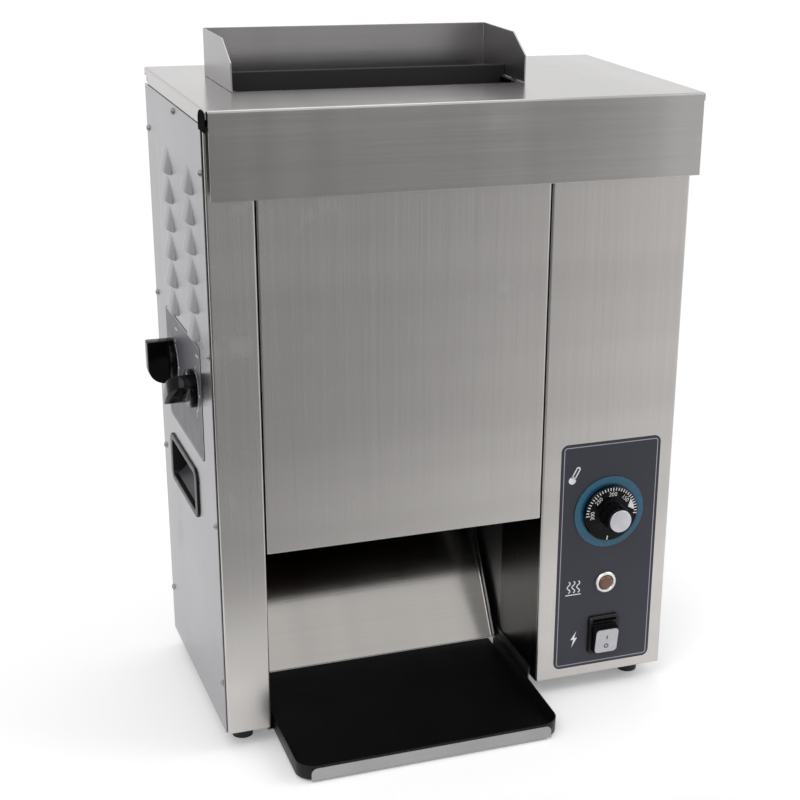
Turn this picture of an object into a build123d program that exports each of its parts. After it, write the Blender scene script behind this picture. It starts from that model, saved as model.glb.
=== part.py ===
"""Vertical conveyor toaster for buns: a hot platen between two driven belts in a sheet-steel cabinet.

Buns drop through the feed opening in the top, ride down both faces of the platen, fall on a curved
chute and slide out on the tray at the front. Millimetres, +Z up, front towards -Y.
The origin lies on the resting plane, under the middle of the overall bounding box.
"""
import os
from math import cos, pi, radians, sin, tan

from build123d import *

os.makedirs("parts", exist_ok=True)

# ---------------------------------------------------------------- driving dimensions
# cabinet
cabinet_depth = 244.0
sheet = 1.2
bend = 2.0
fit_gap = 0.1
seat_gap = 0.3
overcut = 1.0
foot_height = 20.0
foot_radius = 12.0
foot_taper = 2.0
foot_inset_x = 22.0
foot_inset_y = 32.0
foot_screw_radius = 2.5

# front: two columns with the cover plate between them
left_column_width = 43.3
right_column_width = 141.0
column_drop = 16.0
column_return = 18.0
bay_height = 181.0
bay_wall_depth = 100.0
cover_plate_gap = 1.1
cover_plate_return = 12.0
cover_plate_head = 30.0
cover_lug_width = 24.0
cover_lug_height = 16.0
cover_lug_drop = 36.0

# top cover
lip_standoff = 18.4
lip_height = 75.0
flange_height = 13.5
flange_gap = 1.5
notch_length = 26.0
notch_head = 5.5
notch_radius = 4.5

# feed opening, guard and divider
feed_width = 265.0
feed_front = 76.0
feed_depth = 101.0
guard_width = 276.0
guard_front = 73.0
guard_depth = 106.0
guard_height = 42.0
guard_front_height = 24.5
guard_bevel = 30.0
guard_tab_width = 12.0
guard_tab_depth = 7.0
guard_tab_pitch = 56.0
divider_rise = 10.0
divider_skirt = 28.0
divider_seat = 1.0
divider_top = 5.0
guide_flange = 9.0
guide_clear = 3.5

# platen and conveyors
platen_thickness = 14.0
platen_width = 250.0
platen_side_clear = 12.85
platen_height = 345.0
platen_bottom = 215.0
platen_setback = 125.0
heater_radius = 4.0
heater_count = 3
axle_spacing = 90.0
drive_height = 225.0
idler_drop = 25.0
roller_radius = 13.0
belt_thickness = 2.0
belt_width = 256.0
belt_side_clear = 9.85
rib_height = 1.5
rib_width = 3.0
rib_pitch = 12.0
drive_shaft_radius = 6.0
idler_shaft_radius = 4.0
frame_plate = 2.0
frame_plate_radius = 12.0
frame_side_gap = 4.0
tie_radius = 4.0
tie_heights = (285.0, 430.0)
run_clearance = 0.05
side_plate = 1.5
plate_flange = 15.0
bush_wall = 2.0
bush_flange = 2.0
bush_head = 1.5

# compression cams and their knobs
cam_height = 322.0
cam_radius = 8.0
cam_throw = 2.2
cam_thickness = 3.0
cam_play = 0.5
cam_shaft_radius = 4.0
knob_reach = 26.0
knob_skirt_radius = 18.0
knob_skirt = 6.0
knob_wing = 42.0
knob_wing_width = 12.0
knob_nose_radius = 16.0
front_knob_turn = 128.0

# drive train
gear_teeth = 36
pinion_teeth = 12
gear_width = 10.0
tooth_addendum = 0.8
tooth_dedendum = 1.15
tooth_backlash = 0.45
pressure_angle = 20.0
gear_offset = 4.0
pinion_bearing = 75.0
motor_gap = 6.0
gearbox_side = 60.0
gearbox_length = 34.0
motor_radius = 28.0
motor_length = 60.0
post_radius = 4.0

# discharge chute and tray
chute_edge_gap = 6.0
chute_flange = 6.0
chute_foot = (106.7, 1.1)
chute_middle = (141.0, 34.2)
chute_bend = (177.5, 97.3)
chute_rise = 100.0
chute_studs = (0.2, 0.85)
tray_side_gap = 5.85
tray_reach = 80.0
tray_back = 118.0
tray_drop = 13.2
tray_slope = 3.2
tray_wall = 15.0
tray_lip = 13.0
tray_coat = 1.0
tray_corner = 11.0
tray_wall_back = 102.0
ledge_width = 12.0
ledge_web = 22.0
ledge_length = 90.0

# side panels
panel_front = 4.0
panel_screw_inset = 7.0
panel_screw_rows = 4
panel_screw_low = 50.0
panel_screw_pitch = 161.0
screw_head_radius = 3.6
screw_head = 2.2
screw_radius = 2.0
screw_grip = 6.0
top_screw_back = 114.5
top_screw_drop = 21.0
louvre_rows = 6
louvre_columns = 2
louvre_pitch = 26.5
louvre_spread = 90.0
louvre_front = 66.0
louvre_low = 375.0
louvre_width = 38.0
louvre_height = 20.0
louvre_rise = 5.5
knob_plate_width = 152.0
knob_plate_height = 110.0
knob_plate_low = 260.0
knob_plate_front = 46.0
plate_skin = 0.4
plate_corner = 6.0

# flush carrying handles
handle_length = 123.0
handle_height = 50.0
handle_middle = 142.0
handle_level = 214.0
handle_rim = 8.0
handle_lip = 2.0
handle_lip_width = 4.0
handle_depth = 30.0
handle_wall = 2.0
handle_corner = 11.0

# control panel on the right column
control_width = 107.0
control_height = 244.0
control_low = 10.0
control_corner = 7.0
control_offset = 2.0
dial_level = 179.0
dial_ring_radius = 37.5
dial_radius = 29.0
dial_ring_skin = 1.2
dial_thickness = 5.0
dial_gap = 0.6
dial_grip_radius = 13.5
dial_grip_height = 20.0
dial_flutes = 8
dial_flute_radius = 2.2
dial_cap_radius = 11.5
dial_cap = 1.5
spindle_radius = 3.0
spindle_hole_gap = 1.5
thermostat_width = 36.0
thermostat_depth = 30.0
lamp_level = 102.0
lamp_bezel_radius = 11.2
lamp_bezel = 3.0
lamp_lens_radius = 7.6
lamp_lens_rise = 4.5
lamp_body = 26.0
switch_level = 44.0
switch_bezel_width = 34.0
switch_bezel_height = 42.0
switch_bezel = 3.5
switch_wall = 1.2
switch_depth = 24.0
rocker_width = 25.0
rocker_height = 32.0
rocker_root = 8.0
rocker_brow = 2.2
rocker_reach = 13.0
rocker_pivot = 2.0
rocker_pin_radius = 1.5
rocker_tilt = 8.0
rocker_gap = 0.6
rocker_cap = 1.0
rocker_cap_corner = 4.0

# rear
rear_louvre_columns = 4
rear_louvre_rows = 5
rear_louvre_spread = 86.0
rear_louvre_low = 350.0
gland_radius = 9.0
gland_bore = 5.0
gland_flange_radius = 12.5
gland_flange = 3.0
gland_reach = 9.0
gland_inset = 60.0
gland_level = 45.0
terminal_length = 60.0
terminal_width = 22.0
terminal_height = 18.0
terminal_poles = 5

# ---------------------------------------------------------------- derived places
# the cabinet is as wide and as high as its columns, its platen and its divider need
bay_width = max(platen_width + 2 * platen_side_clear, belt_width + 2 * belt_side_clear)
cabinet_width = left_column_width + bay_width + right_column_width
cabinet_height = platen_bottom + platen_height + divider_seat + divider_skirt
idler_height = platen_bottom + platen_height - idler_drop
tray_width = bay_width - 2 * tray_side_gap
x_left = (knob_reach - cabinet_width - louvre_rise) / 2
x_right = x_left + cabinet_width
tray_lean = tray_lip * sin(radians(tray_slope))
y_front = (tray_reach + tray_lean - cabinet_depth - gland_reach) / 2
y_back = y_front + cabinet_depth
z_base = foot_height
z_roof = z_base + cabinet_height
z_column = z_roof - column_drop
z_bay = z_base + bay_height

skin = sheet + fit_gap
x_bay_left = x_left + left_column_width
x_bay_right = x_right - right_column_width
x_mid = (x_bay_left + x_bay_right) / 2
x_left_plate = x_bay_left - sheet - fit_gap
x_right_plate = x_bay_right + sheet + fit_gap
x_control = (x_bay_right + x_right) / 2 + control_offset

y_platen = y_front + platen_setback
y_axles = {"front": y_platen - axle_spacing / 2, "rear": y_platen + axle_spacing / 2}
z_drive = z_base + drive_height
z_idler = z_base + idler_height
z_cam = z_base + cam_height
z_platen = z_base + platen_bottom
z_platen_top = z_platen + platen_height

x_belt = (x_mid - belt_width / 2, x_mid + belt_width / 2)
x_frame = (x_belt[0] - frame_side_gap, x_belt[1] + frame_side_gap)
belt_inner = roller_radius + seat_gap
belt_outer = belt_inner + belt_thickness
belt_length = idler_height - drive_height

gear_module = axle_spacing / gear_teeth
x_gear = x_right_plate + side_plate + gear_offset
x_gearbox = x_gear + gear_width + motor_gap
pinion_reach = gear_module * (gear_teeth + pinion_teeth) / 2
y_pinion = y_axles["rear"] + pinion_reach * cos(radians(pinion_bearing))
z_pinion = z_drive + pinion_reach * sin(radians(pinion_bearing))
teeth_passed = pinion_bearing * gear_teeth / 360 + 0.5
pinion_phase = pinion_bearing + 180 + teeth_passed * 360 / pinion_teeth

tray_plane = Plane(
    origin=(x_mid, y_front, z_base - tray_drop),
    x_dir=(1, 0, 0),
    z_dir=(0, -sin(radians(tray_slope)), cos(radians(tray_slope))),
)
bearings = ((z_drive, drive_shaft_radius + run_clearance), (z_cam, cam_shaft_radius + run_clearance))
screw_levels = [z_base + panel_screw_low + panel_screw_pitch * row for row in range(panel_screw_rows)]
front_screws = [(y_front + panel_front + panel_screw_inset, z) for z in screw_levels]
back_screws = [(y_back - panel_screw_inset, z) for z in screw_levels]
top_screw = [(y_front + top_screw_back, z_roof - top_screw_drop)]
handle_spot = (y_front + handle_middle, z_base + handle_level)
handle_pocket = (handle_length - 2 * handle_rim, handle_height - 2 * handle_lip_width)
dial_spot = (x_control, z_base + dial_level)
lamp_spot = (x_control, z_base + lamp_level)
switch_spot = (x_control, z_base + switch_level)
y_plate = y_front - plate_skin
switch_cavity = (rocker_width + 2 * rocker_gap, rocker_height + 2 * rocker_gap + rocker_brow)
switch_body = (switch_cavity[0] + 2 * switch_wall, switch_cavity[1] + 2 * switch_wall)
rocker_axis = (y_front + rocker_pivot, switch_spot[1])
rocker_pin = (switch_cavity[0] + switch_wall) / 2
side_louvre_spots = [
    (y_front + louvre_front + louvre_spread * column, z_base + louvre_low + louvre_pitch * row)
    for column in range(louvre_columns)
    for row in range(louvre_rows)
]
rear_louvre_spots = [
    (
        rear_louvre_spread * (column - (rear_louvre_columns - 1) / 2),
        z_base + rear_louvre_low + louvre_pitch * row,
    )
    for column in range(rear_louvre_columns)
    for row in range(rear_louvre_rows)
]
rear_screw_spots = [
    (x, z)
    for x in (x_left_plate - plate_flange / 2, x_right_plate + plate_flange / 2)
    for z in screw_levels
]
left_face = Plane(origin=(x_left, 0, 0), x_dir=(0, -1, 0), z_dir=(-1, 0, 0))
right_face = Plane(origin=(x_right, 0, 0), x_dir=(0, 1, 0), z_dir=(1, 0, 0))
rear_face = Plane(origin=(0, y_back, 0), x_dir=(-1, 0, 0), z_dir=(0, 1, 0))


# ---------------------------------------------------------------- helpers
def across(x):
    """Plane facing +X at x, drawn in Y and Z."""
    return Plane.YZ.offset(x)


def facing(y):
    """Plane facing the front at y, drawn in X and Z."""
    return Plane.XZ.offset(-y)


def slab(x, y, z, mode=Mode.ADD):
    """A plain block between pairs of limits."""
    with BuildSketch(Plane.XY.offset(z[0])) as face:
        with Locations(((x[0] + x[1]) / 2, (y[0] + y[1]) / 2)):
            Rectangle(x[1] - x[0], y[1] - y[0])
    extrude(face.sketch, amount=z[1] - z[0], mode=mode)


def disc(plane, centre, radius, amount, mode=Mode.ADD):
    """A round bar or a round hole, grown along the normal of a plane."""
    with BuildSketch(plane) as face:
        with Locations(centre):
            Circle(radius)
    extrude(face.sketch, amount=amount, mode=mode)


def ring(plane, centre, outer, inner, amount, mode=Mode.ADD):
    """A washer or a bush."""
    with BuildSketch(plane) as face:
        with Locations(centre):
            Circle(outer)
            Circle(inner, mode=Mode.SUBTRACT)
    extrude(face.sketch, amount=amount, mode=mode)


def plate(plane, centre, width, height, corner, amount, mode=Mode.ADD):
    """A flat block with rounded corners, grown along the normal of a plane."""
    with BuildSketch(plane) as face:
        with Locations(centre):
            RectangleRounded(width, height, corner)
    extrude(face.sketch, amount=amount, mode=mode)


def bent(plane, points, length, side, thickness=sheet, radius=bend):
    """A folded sheet: an open profile given its thickness and drawn out to its length."""
    with BuildSketch(plane) as section:
        with BuildLine():
            FilletPolyline(*points, radius=radius)
            offset(amount=thickness, side=side)
        make_face()
    extrude(section.sketch, amount=length)


def save(piece, name):
    """Label a finished piece and write its file."""
    piece.part.label = name
    export_step(piece.part, f"parts/{name}.step")


def screw_holes(x, spots, through):
    """Clearance holes along X at a list of places in Y and Z."""
    for spot in spots:
        disc(across(x), spot, screw_radius, through, Mode.SUBTRACT)


def louvre_form(half_width, rise, base, tip):
    """A half cone standing on Y=0: arc-shaped at the foot, running up to a point."""
    with BuildSketch(Plane.XZ) as mouth:
        with BuildLine():
            ThreePointArc((-half_width, base), (0, rise), (half_width, base))
            Line((half_width, base), (-half_width, base))
        make_face()
    loft([mouth.sketch.face(), Vertex(0, tip, base)])


def louvres(face, spots):
    """Press a scoop out of a panel at each place, open at the bottom."""
    places = [face.location * Location((u, v, 0)) for u, v in spots]
    with Locations(*places):
        add(scoop.part)
    with Locations(*places):
        add(hollow.part, mode=Mode.SUBTRACT)


with BuildPart() as scoop:
    louvre_form(louvre_width / 2, louvre_rise, 0, louvre_height)
with BuildPart() as hollow:
    louvre_form(louvre_width / 2 - sheet, louvre_rise - sheet, -sheet - bend / 4, louvre_height)

# ---------------------------------------------------------------- base and structure
with BuildPart() as base_pan:
    edge = skin + sheet
    bent(
        facing(y_front + edge),
        [
            (x_left + edge, z_base + column_return),
            (x_left + edge, z_base),
            (x_right - edge, z_base),
            (x_right - edge, z_base + column_return),
        ],
        -(cabinet_depth - 2 * edge),
        Side.LEFT,
    )
    slab((x_bay_left - edge, x_bay_right + edge), (y_front, y_front + chute_foot[0] + edge),
         (z_base - overcut, z_base + column_return), Mode.SUBTRACT)
save(base_pan, "base_pan")

with BuildPart() as feet:
    for x in (x_left + foot_inset_x, x_right - foot_inset_x):
        for y in (y_front + foot_inset_y, y_back - foot_inset_y):
            with BuildSketch(Plane.XY) as sole:
                with Locations((x, y)):
                    Circle(foot_radius - foot_taper)
            with BuildSketch(Plane.XY.offset(foot_height)) as head:
                with Locations((x, y)):
                    Circle(foot_radius)
            loft([sole.sketch.face(), head.sketch.face()])
            disc(Plane.XY, (x, y), foot_screw_radius * 2, foot_height / 2, Mode.SUBTRACT)
save(feet, "rubber_feet")


def plate_blank(x, flange_x, side):
    """One upright plate that carries the platen and the axles, folded outwards at front and back."""
    bent(
        Plane.XY.offset(z_base + skin),
        [
            (flange_x, y_front + skin),
            (x, y_front + skin),
            (x, y_back - skin),
            (flange_x, y_back - skin),
        ],
        z_column - z_base - 2 * skin,
        side,
        side_plate,
    )
    for z in screw_levels:
        disc(facing(y_back), ((x + flange_x) / 2, z), screw_radius, 2 * bend, Mode.SUBTRACT)
    for y in y_axles.values():
        for z, bore in bearings:
            disc(across(x - 2 * side_plate), (y, z), bore + bush_wall, 4 * side_plate, Mode.SUBTRACT)


with BuildPart() as left_side_plate:
    plate_blank(x_left_plate, x_left_plate - plate_flange, Side.LEFT)
save(left_side_plate, "left_side_plate")

heater_pitch = platen_height / (heater_count + 1)
heater_levels = [z_platen + heater_pitch * (step + 1) for step in range(heater_count)]
with BuildPart() as right_side_plate:
    plate_blank(x_right_plate, x_right_plate + plate_flange, Side.RIGHT)
    for z in heater_levels:
        disc(across(x_right_plate - overcut), (y_platen, z), heater_radius + seat_gap,
             side_plate + 2 * overcut, Mode.SUBTRACT)
save(right_side_plate, "right_side_plate")


def bush(plane, centre, bore, head_first):
    """A flanged bush pressed in a side plate, its head on the outside."""
    ring(plane, centre, bore + bush_wall, bore, side_plate if head_first else -side_plate)
    ring(plane, centre, bore + bush_wall + bush_flange, bore, -bush_head if head_first else bush_head)


with BuildPart() as shaft_bushes:
    for y in y_axles.values():
        for z, bore in bearings:
            bush(across(x_left_plate - side_plate), (y, z), bore, True)
            bush(across(x_right_plate + side_plate), (y, z), bore, False)
save(shaft_bushes, "shaft_bushes")

# ---------------------------------------------------------------- cabinet sheets
with BuildPart() as left_column:
    bent(
        Plane.XY.offset(z_base),
        [
            (x_left + skin, y_front + column_return),
            (x_left + skin, y_front),
            (x_bay_left, y_front),
            (x_bay_left, y_front + bay_wall_depth),
        ],
        z_column - z_base,
        Side.LEFT,
    )
    slab((x_bay_left - bend, x_bay_left), (y_front + column_return, y_back),
         (z_bay + bend, z_column), Mode.SUBTRACT)
    screw_holes(x_left, front_screws, 4 * sheet)
save(left_column, "left_column")

with BuildPart() as right_column:
    bent(
        Plane.XY.offset(z_base),
        [
            (x_right - skin, y_front + column_return),
            (x_right - skin, y_front),
            (x_bay_right, y_front),
            (x_bay_right, y_front + bay_wall_depth),
        ],
        z_column - z_base,
        Side.RIGHT,
    )
    slab((x_bay_right, x_bay_right + bend), (y_front + column_return, y_back),
         (z_bay + bend, z_column), Mode.SUBTRACT)
    through = -2 * overcut - sheet
    disc(facing(y_front - overcut), dial_spot, spindle_radius + spindle_hole_gap, through, Mode.SUBTRACT)
    disc(facing(y_front - overcut), lamp_spot, lamp_lens_radius + fit_gap, through, Mode.SUBTRACT)
    plate(facing(y_front - overcut), switch_spot, *switch_body, bend, through, Mode.SUBTRACT)
    screw_holes(x_right - 4 * sheet, front_screws, 4 * sheet)
save(right_column, "right_column")

with BuildPart() as front_cover:
    x_cover = (x_bay_left + cover_plate_gap, x_bay_right - cover_plate_gap)
    bent(
        Plane.XY.offset(z_bay),
        [
            (x_cover[0], y_front + cover_plate_return),
            (x_cover[0], y_front),
            (x_cover[1], y_front),
            (x_cover[1], y_front + cover_plate_return),
        ],
        z_roof - cover_plate_head - z_bay,
        Side.LEFT,
    )
    slab((x_cover[0] + bend, x_cover[1] - bend), (y_front + sheet / 2, y_front + cover_plate_return),
         (z_bay, z_bay + sheet))
    fillet(front_cover.faces().sort_by(Axis.Y)[0].edges().sort_by(Axis.Z)[0], bend / 2)
    for x in x_cover:
        slab((x - cover_lug_width / 2, x + cover_lug_width / 2), (y_front - sheet, y_front),
             (z_roof - cover_lug_drop - cover_lug_height, z_roof - cover_lug_drop))
save(front_cover, "front_cover")

with BuildPart() as rear_panel:
    bent(
        Plane.XY.offset(z_base),
        [
            (x_left + skin, y_back - column_return),
            (x_left + skin, y_back),
            (x_right - skin, y_back),
            (x_right - skin, y_back - column_return),
        ],
        z_column - z_base,
        Side.RIGHT,
    )
    screw_holes(x_left, back_screws, cabinet_width)
    disc(facing(y_back + overcut), (x_right - gland_inset, z_base + gland_level), gland_radius, 4 * sheet,
         Mode.SUBTRACT)
    for x, z in rear_screw_spots:
        disc(facing(y_back + overcut), (x, z), screw_radius, 4 * sheet, Mode.SUBTRACT)
    louvres(rear_face, rear_louvre_spots)
save(rear_panel, "rear_panel")


with BuildPart() as top_cover:
    y_lip = y_front - lip_standoff
    bent(
        across(x_left + bend),
        [
            (y_lip, z_roof - lip_height),
            (y_lip, z_roof),
            (y_back + skin, z_roof),
            (y_back + skin, z_roof - flange_height),
        ],
        cabinet_width - 2 * bend,
        Side.RIGHT,
    )
    bent(
        facing(y_lip + bend),
        [
            (x_left, z_roof - flange_height),
            (x_left, z_roof),
            (x_right, z_roof),
            (x_right, z_roof - flange_height),
        ],
        -(cabinet_depth + lip_standoff + skin - 2 * bend),
        Side.RIGHT,
    )
    for y in (y_lip + sheet, y_back + skin - sheet - notch_length / 2):
        length = notch_length if y < y_front else notch_length / 2
        with BuildSketch(across(x_left - overcut)) as notch:
            with Locations((y + length / 2, z_roof - notch_head - flange_height / 2)):
                Rectangle(length, flange_height)
            fillet(notch.vertices().group_by(Axis.Y)[-1], notch_radius)
        extrude(notch.sketch, amount=cabinet_width + 2 * overcut, mode=Mode.SUBTRACT)
    feed_x = (x_mid - feed_width / 2, x_mid + feed_width / 2)
    feed_y = (y_front + feed_front, y_front + feed_front + feed_depth)
    slab(feed_x, feed_y, (z_roof - 2 * sheet, z_roof + sheet), Mode.SUBTRACT)
    for x in (x_mid - guard_width / 2, x_mid + guard_width / 2 - sheet):
        for step in (-1, 1):
            y = y_front + guard_front + guard_depth / 2 + step * guard_tab_pitch / 2
            slab((x - seat_gap, x + sheet + seat_gap),
                 (y - guard_tab_width / 2 - seat_gap, y + guard_tab_width / 2 + seat_gap),
                 (z_roof - 2 * sheet, z_roof + sheet), Mode.SUBTRACT)
save(top_cover, "top_cover")

with BuildPart() as top_rails:
    for side, x_skin in ((-1, x_left + skin), (1, x_right - skin)):
        bent(
            facing(y_front + column_return + seat_gap),
            [
                (x_skin, z_column - column_return),
                (x_skin, z_roof - sheet - seat_gap),
                (x_skin - side * column_return, z_roof - sheet - seat_gap),
            ],
            -(cabinet_depth - 2 * column_return - 2 * seat_gap),
            Side.RIGHT if side < 0 else Side.LEFT,
        )
    screw_holes(x_left, top_screw, cabinet_width)
save(top_rails, "top_rails")

with BuildPart() as feed_guides:
    for y_edge, y_foot, side in (
        (feed_y[0], y_axles["front"] + belt_outer, Side.RIGHT),
        (feed_y[1], y_axles["rear"] - belt_outer, Side.LEFT),
    ):
        away = -guide_flange if y_edge < y_platen else guide_flange
        bent(
            across(feed_x[0]),
            [
                (y_edge + away, z_roof - sheet),
                (y_edge, z_roof - sheet),
                (y_foot, z_idler + belt_outer + guide_clear),
            ],
            feed_width,
            side,
            radius=bend / 2,
        )
save(feed_guides, "feed_guides")

# ---------------------------------------------------------------- feed guard and divider
with BuildPart() as feed_guard:
    x_guard = (x_mid - guard_width / 2, x_mid + guard_width / 2)
    y_guard = (y_front + guard_front, y_front + guard_front + guard_depth)
    z_guard = z_roof + seat_gap
    bent(
        Plane.XY.offset(z_guard),
        [
            (x_guard[0], y_guard[0]),
            (x_guard[0], y_guard[1]),
            (x_guard[1], y_guard[1]),
            (x_guard[1], y_guard[0]),
        ],
        guard_height,
        Side.RIGHT,
    )
    with BuildSketch(across(x_guard[0] - overcut)) as bevel:
        with BuildLine():
            Polyline(
                (y_guard[0] - overcut, z_guard + guard_front_height),
                (y_guard[0], z_guard + guard_front_height),
                (y_guard[0] + guard_bevel, z_guard + guard_height),
                (y_guard[0] + guard_bevel, z_guard + guard_height + overcut),
                (y_guard[0] - overcut, z_guard + guard_height + overcut),
                close=True,
            )
        make_face()
    extrude(bevel.sketch, amount=guard_width + 2 * overcut, mode=Mode.SUBTRACT)
    for x in (x_guard[0], x_guard[1] - sheet):
        for step in (-1, 1):
            y = (y_guard[0] + y_guard[1]) / 2 + step * guard_tab_pitch / 2
            slab((x, x + sheet), (y - guard_tab_width / 2, y + guard_tab_width / 2),
                 (z_guard - guard_tab_depth, z_guard + overcut))
save(feed_guard, "feed_guard")

with BuildPart() as feed_divider:
    half_base = platen_thickness / 2 + seat_gap + sheet
    x_divider = (x_guard[0] + sheet + seat_gap, x_guard[1] - sheet - seat_gap)
    bent(
        across(x_divider[0]),
        [
            (y_platen - half_base, z_roof - divider_skirt),
            (y_platen - divider_top / 2, z_roof + divider_rise),
            (y_platen + divider_top / 2, z_roof + divider_rise),
            (y_platen + half_base, z_roof - divider_skirt),
        ],
        x_divider[1] - x_divider[0],
        Side.RIGHT,
        radius=bend * 0.75,
    )
    x_ends = ((x_divider[0] - overcut, feed_x[0] + seat_gap), (feed_x[1] - seat_gap, x_divider[1] + overcut))
    for x in x_ends:
        slab(x, (y_platen - 2 * half_base, y_platen + 2 * half_base),
             (z_roof - divider_skirt - overcut, z_roof + seat_gap), Mode.SUBTRACT)
save(feed_divider, "feed_divider")

# ---------------------------------------------------------------- platen
x_platen = (x_mid - platen_width / 2, x_mid + platen_width / 2)
with BuildPart() as platen:
    half = platen_thickness / 2
    slab(x_platen, (y_platen - half, y_platen + half), (z_platen, z_platen_top))
    fillet(platen.edges().filter_by(Axis.X).group_by(Axis.Z)[0], platen_thickness / 3)
    for z in heater_levels:
        disc(across(x_platen[0] - overcut), (y_platen, z), heater_radius + run_clearance,
             platen_width + 2 * overcut, Mode.SUBTRACT)
save(platen, "platen")

with BuildPart() as platen_pins:
    for z in (z_platen + 2 * frame_plate_radius, z_platen_top - 2 * frame_plate_radius):
        disc(across(x_left_plate), (y_platen, z), tie_radius, x_platen[0] - x_left_plate)
        disc(across(x_platen[1]), (y_platen, z), tie_radius, x_right_plate - x_platen[1])
save(platen_pins, "platen_pins")

with BuildPart() as heating_elements:
    for z in heater_levels:
        x_tail = x_right_plate + side_plate + 2 * gear_offset
        disc(across(x_platen[0]), (y_platen, z), heater_radius, x_tail - x_platen[0])
        disc(across(x_tail), (y_platen, z), heater_radius / 2, gear_offset)
save(heating_elements, "heating_elements")


# ---------------------------------------------------------------- belt conveyors
def conveyor(name):
    """One belt conveyor: welded frame, backing plate, two rollers and the belt round them."""
    y = y_axles[name]
    toward = 1 if name == "front" else -1

    with BuildPart() as frame:
        for x in (x_frame[0] - frame_plate, x_frame[1]):
            with BuildSketch(across(x)) as blank:
                with Locations((y, (z_drive + z_idler) / 2)):
                    SlotCenterToCenter(belt_length, 2 * frame_plate_radius, rotation=90)
                with Locations((y, z_cam)):
                    window = (2 * (cam_radius + cam_play), 2 * (cam_radius + cam_throw + cam_play))
                    RectangleRounded(*window, radius=bend, mode=Mode.SUBTRACT)
                with Locations((y, z_drive)):
                    Circle(drive_shaft_radius + run_clearance, mode=Mode.SUBTRACT)
                with Locations((y, z_idler)):
                    Circle(idler_shaft_radius + run_clearance, mode=Mode.SUBTRACT)
            extrude(blank.sketch, amount=frame_plate)
        for height in tie_heights:
            disc(across(x_frame[0]), (y - toward * tie_radius, z_base + height), tie_radius,
                 x_frame[1] - x_frame[0])
    save(frame, f"{name}_frame")

    with BuildPart() as backing:
        face = y + toward * (roller_radius - seat_gap)
        bent(
            across(x_frame[0]),
            [
                (y, z_drive + 2 * roller_radius),
                (face, z_drive + 2 * roller_radius),
                (face, z_idler - 2 * roller_radius),
                (y, z_idler - 2 * roller_radius),
            ],
            x_frame[1] - x_frame[0],
            Side.LEFT if toward > 0 else Side.RIGHT,
        )
    save(backing, f"{name}_backing_plate")

    for end, z, shaft_radius, x_end in (
        ("drive", z_drive, drive_shaft_radius, (x_left_plate - 2 * side_plate, x_gear + gear_width)),
        ("idler", z_idler, idler_shaft_radius, (x_frame[0] - frame_plate, x_frame[1] + frame_plate)),
    ):
        with BuildPart() as roller:
            disc(across(x_belt[0]), (y, z), roller_radius, belt_width)
            disc(across(x_end[0]), (y, z), shaft_radius, x_end[1] - x_end[0])
        save(roller, f"{name}_{end}_roller")

    with BuildPart() as belt:
        ribs = int(belt_length / rib_pitch)
        with BuildSketch(across(x_belt[0])) as loop:
            with Locations((y, (z_drive + z_idler) / 2)):
                SlotCenterToCenter(belt_length, 2 * belt_outer, rotation=90)
                with GridLocations(2 * belt_outer, belt_length / ribs, 2, ribs + 1):
                    Rectangle(2 * rib_height, rib_width)
            for z, first in ((z_idler, 45), (z_drive, 225)):
                with Locations((y, z)):
                    with PolarLocations(belt_outer, 3, start_angle=first, angular_range=135):
                        Rectangle(2 * rib_height, rib_width)
            with Locations((y, (z_drive + z_idler) / 2)):
                SlotCenterToCenter(belt_length, 2 * belt_inner, rotation=90, mode=Mode.SUBTRACT)
        extrude(loop.sketch, amount=belt_width)
    save(belt, f"{name}_belt")


for name in y_axles:
    conveyor(name)


# ---------------------------------------------------------------- compression cams and knobs
def compression(name, turn):
    """The knob outside the left panel, with the shaft and the two cams that tilt a conveyor."""
    y = y_axles[name]
    x_skirt = x_left - plate_skin - seat_gap
    with BuildPart() as knob:
        disc(across(x_skirt), (y, z_cam), knob_skirt_radius, -knob_skirt)
        chamfer(knob.edges().group_by(Axis.X)[0], knob_skirt / 4)
        wing_plane = Plane(
            origin=(x_skirt, y, z_cam),
            x_dir=(-1, 0, 0),
            z_dir=(0, cos(radians(turn)), -sin(radians(turn))),
        )
        reach = knob_reach - (x_left - x_skirt)
        with BuildSketch(wing_plane) as wing:
            with Locations((reach / 2, 0)):
                Rectangle(reach, knob_wing)
            outer = wing.vertices().group_by(Axis.X)[-1].sort_by(Axis.Y)
            fillet(outer[0], knob_nose_radius)
            fillet(wing.vertices().group_by(Axis.X)[-1].sort_by(Axis.Y)[-1], bend)
        extrude(wing.sketch, amount=knob_wing_width / 2, both=True)
        disc(across(x_skirt), (y, z_cam), cam_shaft_radius, -knob_skirt * 2, Mode.SUBTRACT)
    save(knob, f"{name}_compression_knob")

    with BuildPart() as shaft:
        x_start = x_skirt - knob_skirt * 2
        disc(across(x_start), (y, z_cam), cam_shaft_radius, x_right_plate + 2 * side_plate - x_start)
        for x in (x_frame[0] - frame_plate / 2, x_frame[1] + frame_plate / 2):
            disc(across(x - cam_thickness / 2), (y, z_cam + cam_throw), cam_radius, cam_thickness)
    save(shaft, f"{name}_cam_shaft")


compression("front", front_knob_turn)
compression("rear", 0)


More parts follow.
